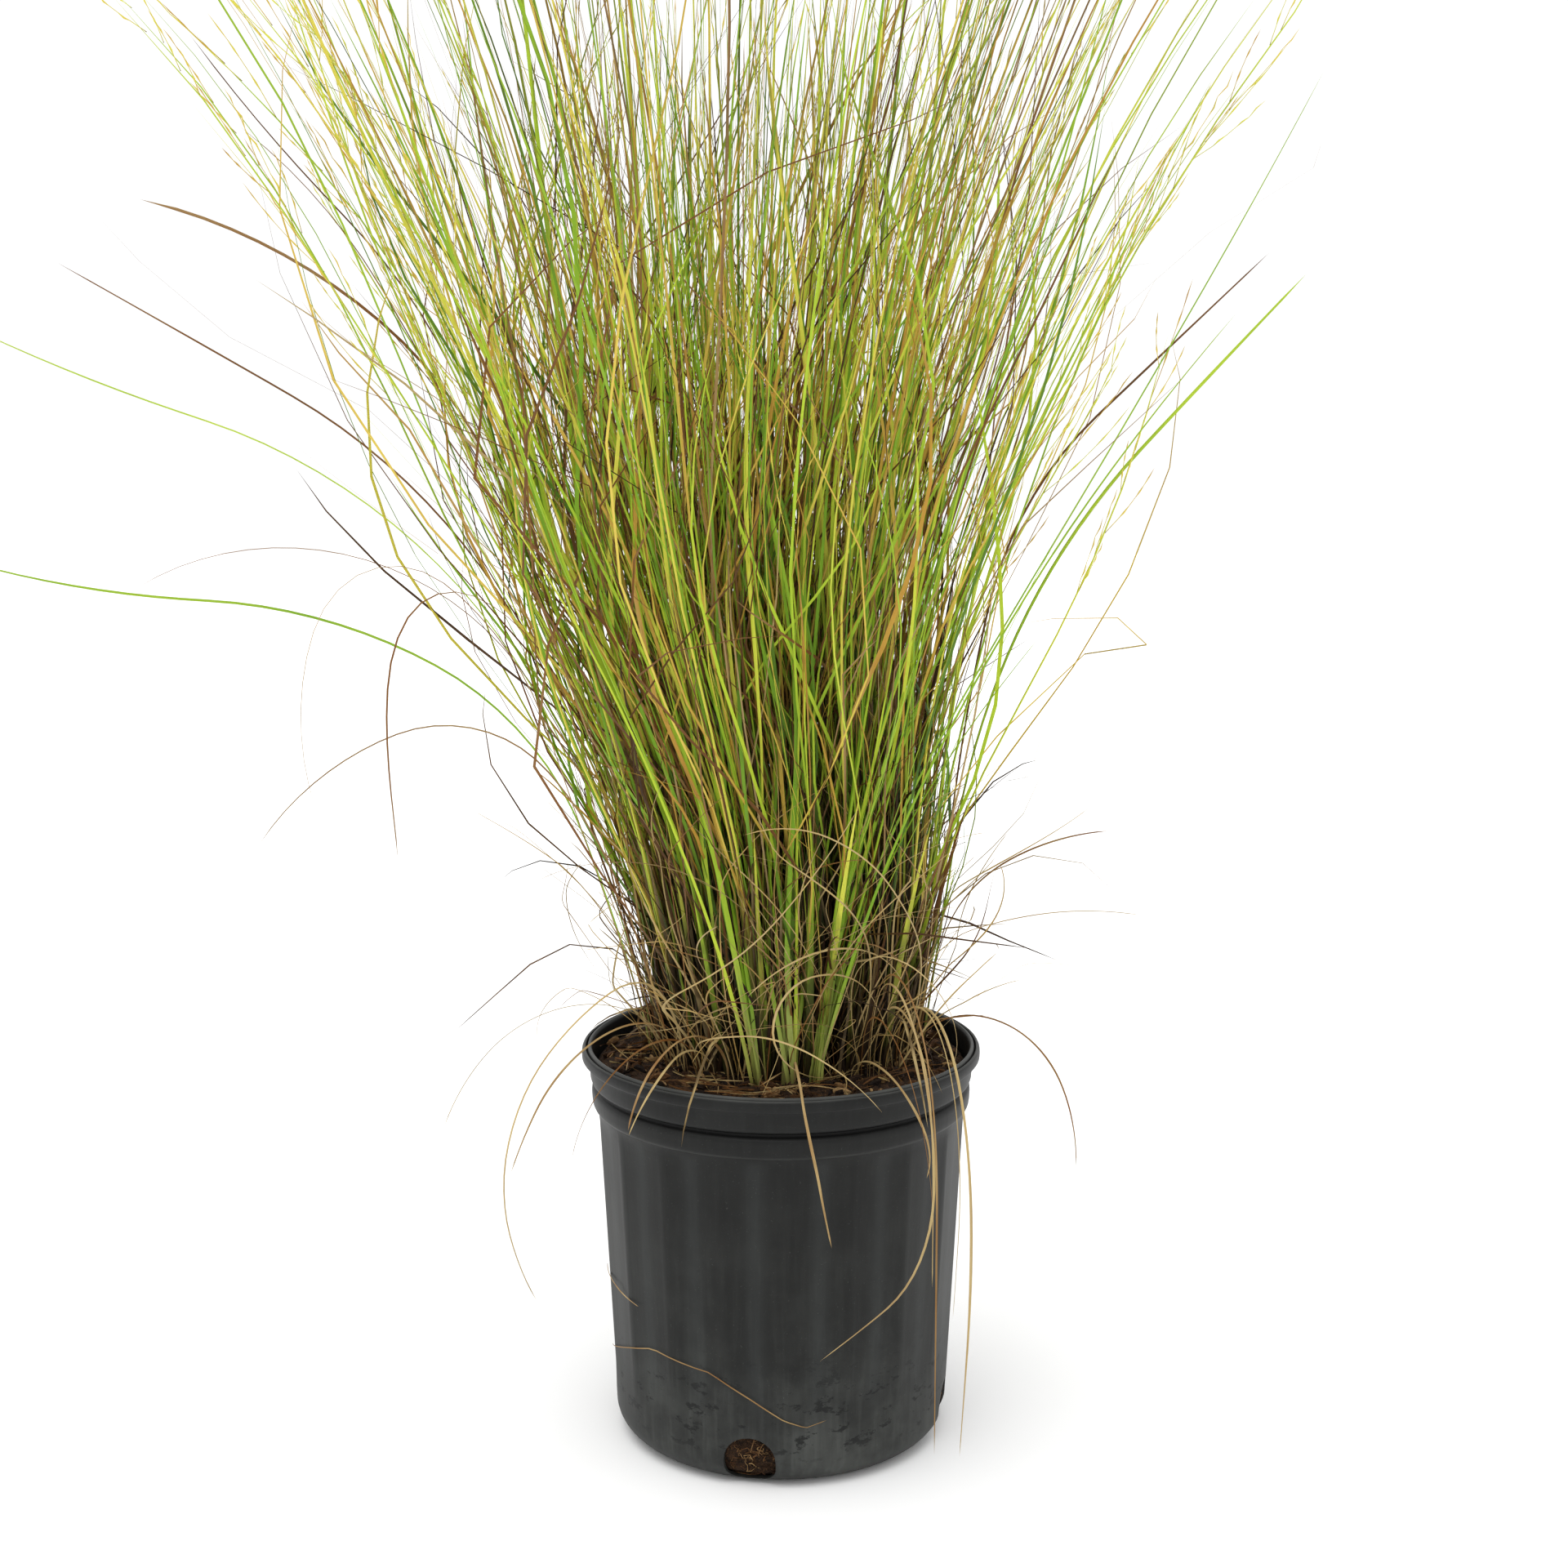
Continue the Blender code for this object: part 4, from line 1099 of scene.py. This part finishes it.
for name, root_angle, length, leans, headings, width, hue in SINGLE_LEAVES:
    dry = "rim" in name or "straw" in name
    blank = BLUNT_LEAF if name in BLUNT else STRAW_LEAF if dry else LONG_LEAF
    laid = lay(blank, single_line(root_angle, length, leans, headings), [width], [width * 1.3],
               np.array([-1.4 if name in BLUNT else math.radians(root_angle) + 0.4]),
               [0.0 if name in BLUNT else draw.normal(0, 0.8)], np.array([hue]), draw.uniform(0, 1, 1))
    piece = join("single_" + name, [laid], FRESH if hue < 0.5 else STRAW)
    hand_over(piece, "fresh_leaf" if hue < 0.5 else "dry_leaf", name)
print("Laid", len(SINGLE_LEAVES), "single leaves")

# %% [markdown]
# ## Strands too thin for solids
# Beside the single leaves hang thinner ones of the same kind, in small bunches over the rim and across the foot.
# They are drawn with the same few numbers, and each bunch is one piece.

# %% Strands one by one
LOOSE_STRANDS = {
    "right_rim": (
        (304, 0.430, (12, 50, 96, 152, 178, 180, 182), (277, 283, 262), 0.0012, 0.80),
        (307, 0.270, (14, 56, 108, 156, 176, 184), (281, 285, 262), 0.0016, 0.74),
        (301, 0.235, (20, 64, 104, 150, 178), (272, 284, 300), 0.0013, 0.84),
        (314, 0.300, (18, 62, 118, 160, 190, 196), (290, 282, 276), 0.0014, 0.72),
        (296, 0.120, (40, 92, 118, 150, 200), (300, 302, 330), 0.0015, 0.76),
        (330, 0.190, (26, 70, 110, 150, 180), (318, 322, 300), 0.0012, 0.82),
    ),
    "left_high": (
        (165, 0.700, (10, 14, 18, 22, 44, 36), (176, 178, 180), 0.0016, 0.92),
        (158, 0.640, (8, 16, 20, 26, 30, 52), (170, 176, 186), 0.0014, 0.84),
    ),
    "left_rim": (
        (226, 0.190, (20, 60, 96, 124, 150, 160), (236, 222, 205), 0.0014, 0.78),
        (232, 0.150, (24, 74, 108, 138, 168), (240, 230, 216), 0.0015, 0.84),
        (212, 0.200, (18, 66, 100, 128, 150), (222, 208, 232), 0.0013, 0.74),
        (240, 0.120, (34, 82, 116, 150), (236, 250, 226), 0.0015, 0.72),
    ),
    "front": (
        (231, 0.200, (44, 68, 78, 112, 140), (262, 318, 350), 0.0014, 0.72),
        (318, 0.230, (22, 40, 96, 210, 300), (250, 214, 196), 0.0015, 0.71),
        (300, 0.210, (16, 30, 62, 128, 196), (236, 300, 352), 0.0014, 0.73),
        (262, 0.200, (24, 46, 58, 66), (222, 250, 300), 0.0013, 0.74),
        (252, 0.230, (18, 34, 50, 90), (330, 352, 384), 0.0014, 0.70),
        (288, 0.260, (14, 26, 50, 88, 120), (200, 186, 160), 0.0014, 0.76),
        (336, 0.200, (16, 44, 86, 132), (262, 226, 204), 0.0015, 0.71),
    ),
}
for bunch, strands in LOOSE_STRANDS.items():
    bundles = []
    for root_angle, length, leans, headings, width, hue in strands:
        line = single_line(root_angle, length, leans, headings)
        bundles.append(lay(STRAW_LEAF, line, [width], [width], np.zeros(1), [draw.normal(0, 1.0)], np.array([hue]),
                           draw.uniform(0, 1, 1)))
    hand_over(join("strands_" + bunch, bundles, STRAW), "dry_leaf")
    print("Laid", len(strands), "strands at the", bunch.replace("_", " "))

# %% [markdown]
# ## Wild straws and stray stems
# Around the foot, dead leaves have sprung out of the clump and curl over each other. Higher up, thin flower stems
# lean far out of it on both sides. Both follow rules with wide draws. A straw may not sink into the soil or cut
# through the rim, so its line is lifted onto them, and one that would have to jump is left out.

# %% Wild straws
RIM_RADIUS, RIM_TOP = 0.1275, 0.2560


def rest_on_pot(lines):
    """Lift lines out of the soil and over the rim. Lines that would break there are dropped."""
    radius = np.hypot(lines[..., 0], lines[..., 1])
    ground = np.interp(radius, [0.112, 0.118, RIM_RADIUS, RIM_RADIUS + 0.001], [SOIL_TOP + 0.002, RIM_TOP, RIM_TOP, 0.0])
    ground[:, 0] = 0.0
    lifted = lines.copy()
    lifted[..., 2] = np.maximum(lifted[..., 2], ground)
    steps = np.linalg.norm(np.diff(lifted, axis=1), axis=-1)
    whole = (steps.max(axis=1) < 2.2 * np.median(steps, axis=1)) & (lifted[..., 2].min(axis=1) > 0.12)
    return lifted[whole]


def thin_out(lines, kept, draw):
    """Drop most of the lines that hang over the rim or reach far beyond it."""
    radius = np.hypot(lines[..., 0], lines[..., 1])
    over = ((lines[..., 2] < RIM_TOP + 0.004) & (radius > RIM_RADIUS)) | (radius > 0.155)
    return lines[~over.any(axis=1) | (draw.uniform(0, 1, len(lines)) < kept)]


def wild_straws(count, low, high, draw):
    """Dead leaves rooted at the crown's edge between two bearings, in degrees. They rise, bend over and curl."""
    bearing = draw.uniform(low, high, count)
    radius = draw.uniform(0.055, 0.090, count)
    turn = np.radians(bearing)
    starts = np.column_stack([CROWN_MIDDLE[0] + radius * np.cos(turn), CROWN_MIDDLE[1] + radius * np.sin(turn),
                              np.full(count, SOIL_TOP - SOIL_DIP)])
    first = draw.uniform(4, 44, count)
    bend = np.abs(draw.normal(0, 36, count))
    leans = np.stack([first, first + bend * 0.25, first + bend * 0.7, first + bend], axis=1)
    spin = draw.normal(0, 80, count)
    headings = (bearing + draw.normal(0, 45, count))[:, None] + spin[:, None] * [[0, 0.4, 1]]
    lines = walk(starts, draw.uniform(0.08, 0.26, count), kink(wander(ways_of(leans, headings), 0.03, 0.12, 0.20, draw), np.ones(count), draw))
    lines = thin_out(rest_on_pot(lines), 0.12, draw)
    hues = draw.choice([0.68, 0.74, 0.82, 0.92], len(lines), p=[0.38, 0.30, 0.18, 0.14])
    return lay_leaves(FINE_DEAD_LEAF, lines, 0.0015, hues + draw.normal(0, 0.02, len(lines)), draw)


for side, count, low, high in (("front", 230, 205, 340), ("right", 16, -25, 60), ("left", 14, 135, 205), ("back", 30, 60, 135)):
    hand_over(join("wild_straws_" + side, [wild_straws(count, low, high, draw)], STRAW), "dry_leaf")


# %% Stray stems
def stray_stems(count, bearings, factors, lengths, draw):
    """Flower stems that lean out further than the clump, between two bearings."""
    turn = np.radians(draw.uniform(*bearings, count))
    starts = np.column_stack([CROWN_MIDDLE[0] + 0.078 * np.cos(turn), CROWN_MIDDLE[1] + 0.078 * np.sin(turn),
                              np.full(count, SOIL_TOP - SOIL_DIP)])
    length = draw.uniform(*lengths, count)
    headings = np.degrees(turn)[:, None] + draw.normal(0, 12, (count, 1)) * [[0, 1]]
    ways = wander(law_ways(draw.uniform(*factors, count), length, headings), 0.02, 0.06, 0.14, draw)
    return dress_stems(rest_on_pot(keep_inside(walk(starts, length, ways))), draw)


STRAY_STEMS = {
    "left": (7, (150, 225), (0.95, 1.3), (0.60, 0.74)),
    "right": (5, (-35, 30), (0.8, 1.1), (0.44, 0.66)),
    "back": (8, (50, 130), (1.0, 1.3), (0.44, 0.66)),
}
for side, numbers in STRAY_STEMS.items():
    hand_over(join("stray_stems_" + side, stray_stems(*numbers, draw), GRASS), "grass")
print("Wild straws and stray stems are laid")

# %% [markdown]
# ## Tall leaves
# On both sides of the clump's top some of the longest leaves stand together. They follow the clump's law too, with
# about half of its lean.

# %% Tall leaves
def tall_leaves(count, middle, draw):
    """Long leaves rooted near the crown's edge, around one bearing in degrees."""
    bearing = middle + draw.normal(0, 28, count)
    turn, radius = np.radians(bearing), draw.uniform(0.040, 0.076, count)
    starts = np.column_stack([CROWN_MIDDLE[0] + radius * np.cos(turn), CROWN_MIDDLE[1] + radius * np.sin(turn),
                              np.full(count, SOIL_TOP - SOIL_DIP)])
    length = draw.uniform(0.72, 0.88, count)
    headings = bearing[:, None] + draw.normal(0, 12, (count, 1)) * [[0, 1]]
    ways = wander(law_ways(draw.normal(0.48, 0.08, count), length, headings), 0.03, 0.06, 0.12, draw)
    hues = draw.choice([0.14, 0.26, 0.40, 0.57, 0.80], count, p=[0.20, 0.28, 0.18, 0.18, 0.16])
    return lay_leaves(LEAF, keep_inside(sway(walk(starts, length, ways))), LEAF_WIDTH, hues, draw)


for side, count, middle in (("left", 26, 186), ("right", 34, -6)):
    hand_over(join("tall_leaves_" + side, [tall_leaves(count, middle, draw)], GRASS), "grass")
    print("Laid", count, "tall leaves on the", side)

# %% [markdown]
# ## Two straws on the wall
# Watering has left two dead leaves stuck to the side of the pot. Each is drawn on the wall itself, by stops of its
# angle about the pot and its height.

# %% Straws on the wall
WALL_STRAWS = (
    ((184, 196, 210, 224, 247, 260, 271, 278, 285), (0.052, 0.060, 0.070, 0.079, 0.074, 0.060, 0.046, 0.041, 0.045),
     0.0008, 0.80),
    ((184, 200, 218), (0.107, 0.106, 0.103), 0.0012, 0.78),
)
bundles = []
for angles, heights, width, hue in WALL_STRAWS:
    stops = np.linspace(0, 1, len(angles))
    reach = np.linspace(0, 1, LINE_POINTS)
    turn, height_at = np.radians(np.interp(reach, stops, angles)), np.interp(reach, stops, heights)
    radius = wall_radius(height_at) + 0.0006
    line = np.stack([radius * np.cos(turn), radius * np.sin(turn), height_at], axis=-1)[None]
    bundles.append(lay(STRAW_LEAF, line, [width], [width], np.zeros(1), np.zeros(1), np.array([hue]), np.array([0.4])))
hand_over(join("wall_straws", bundles, STRAW), "dry_leaf")
print("Laid", len(WALL_STRAWS), "straws on the wall")

# %% [markdown]
# ## Bark and litter
# Potting mix is mostly chips of bark, and a grass drops broken straw on it. A chip is a small lump that is modelled
# once and copied with other sizes. Every chip and straw lies at the height of the soil's nearest point.

# %% Bark finish
BARK_STOPS = [
    (0.00, linear(22, 14, 9)), (0.40, linear(54, 36, 22)), (0.70, linear(94, 64, 38)), (1.00, linear(160, 130, 88)),
]
bark = Finish("bark chips")
hue = bark.node("ShaderNodeAttribute", {"attribute_name": "hue"}, output="Fac")
lumps = bark.noise(260.0, detail=4.0)
fibres = bark.noise(1.0, bark.stretched(bark.place(), (1200.0, 400.0, 1200.0)), detail=2.0)
bark.give(
    Base_Color=bark.node("ShaderNodeValToRGB", {"stops": BARK_STOPS}, {0: hue + (lumps - 0.5) * 0.5}),
    Roughness=fibres.fade(0.3, 0.7, 0.78, 0.95),
    Specular_IOR_Level=0.2,
    Normal=bark.bump(fibres + lumps, 0.0008),
)

# %% Bark chips and fallen straw
soil_points = np.array([v.co for v in soil.data.vertices if v.co.z > 0.236 and v.co.xy.length < 0.1165])


def soil_height(spots):
    """The height of the soil's nearest point."""
    gaps = np.linalg.norm(spots[:, None, :2] - soil_points[None, :, :2], axis=-1)
    return soil_points[gaps.argmin(axis=1), 2]


def litter_lines(count, inner, outer, low, high, raised, draw):
    """Short lines on the soil, between two distances from the pot's axis."""
    turn, radius = draw.uniform(0, 6.28, count), np.sqrt(draw.uniform(inner ** 2, outer ** 2, count))
    spots = np.column_stack([radius * np.cos(turn), radius * np.sin(turn)])
    headings = np.degrees(turn)[:, None] + 90 + draw.normal(0, 50, count)[:, None] + draw.normal(0, 25, (count, 1)) * [[0, 1]]
    leans = 90 + draw.normal(0, 9, (count, 2))
    starts = np.column_stack([spots, soil_height(spots) + raised])
    lines = walk(starts, draw.uniform(low, high, count), ways_of(leans, headings, 8))
    return lines[np.hypot(lines[..., 0], lines[..., 1]).max(axis=1) < 0.1172]


chips = litter_lines(620, 0.045, 0.114, 0.005, 0.014, 0.0008, draw)
number = len(chips)
chip_bundle = lay(CHIP, chips, draw.uniform(0.0025, 0.0065, number), draw.uniform(0.0012, 0.0032, number),
                  draw.uniform(0, 6.28, number), np.zeros(number), draw.uniform(0, 1, number) ** 1.3,
                  draw.uniform(0, 1, number))
hand_over(join("bark_litter", [chip_bundle], bark.material), "potting_mix")
straws = litter_lines(320, 0.060, 0.115, 0.010, 0.048, 0.0030, draw)
straw_hues = draw.uniform(0.66, 0.99, len(straws))
hand_over(join("straw_litter", [lay_leaves(DEAD_LEAF, straws, 0.0015, straw_hues, draw)], STRAW), "dry_leaf")
print("Scattered", number, "chips and", len(straws), "straws")

# %% [markdown]
# ## Roots in the drain holes
# The root ball shows in each hole as a mat of fine brown roots. They wander over the soil's rounded foot.

# %% Roots in the holes
foot_radii, foot_heights = np.array(soil_outline[:5]).T
bundles = []
for index in range(HOLES):
    count = 40
    bearing = HOLE_TURN + index * math.pi / 2 + draw.normal(0, 0.09, count)
    rise = np.clip(np.cumsum(draw.normal(0, 0.0022, (count, 13)), axis=1) + draw.uniform(0.007, 0.029, (count, 1)), 0.004, 0.034)
    drift = bearing[:, None] + np.cumsum(draw.normal(0, 0.020, (count, 13)), axis=1)
    radius = np.interp(rise, foot_heights, foot_radii) + draw.uniform(0.0003, 0.0026, (count, 1))
    lines = np.stack([radius * np.cos(drift), radius * np.sin(drift), rise], axis=-1)
    bundles.append(lay(STEM, lines, np.full(count, 0.0007), np.full(count, 0.0007), np.zeros(count), np.zeros(count),
                       draw.uniform(0.2, 0.9, count), draw.uniform(0, 1, count)))
hand_over(join("hole_roots", bundles, bark.material), "potting_mix")
print("Roots show in", HOLES, "holes")

# %% The visual model's size, for comparison with the CAD box
low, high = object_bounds()
{"cad": [list(cad_low), list(cad_high)], "visual": [list(low), list(high)]}
for axis in range(3):
    print("xyz"[axis], "CAD", round(cad_low[axis], 3), round(cad_high[axis], 3),
          "visual", round(low[axis], 3), round(high[axis], 3))
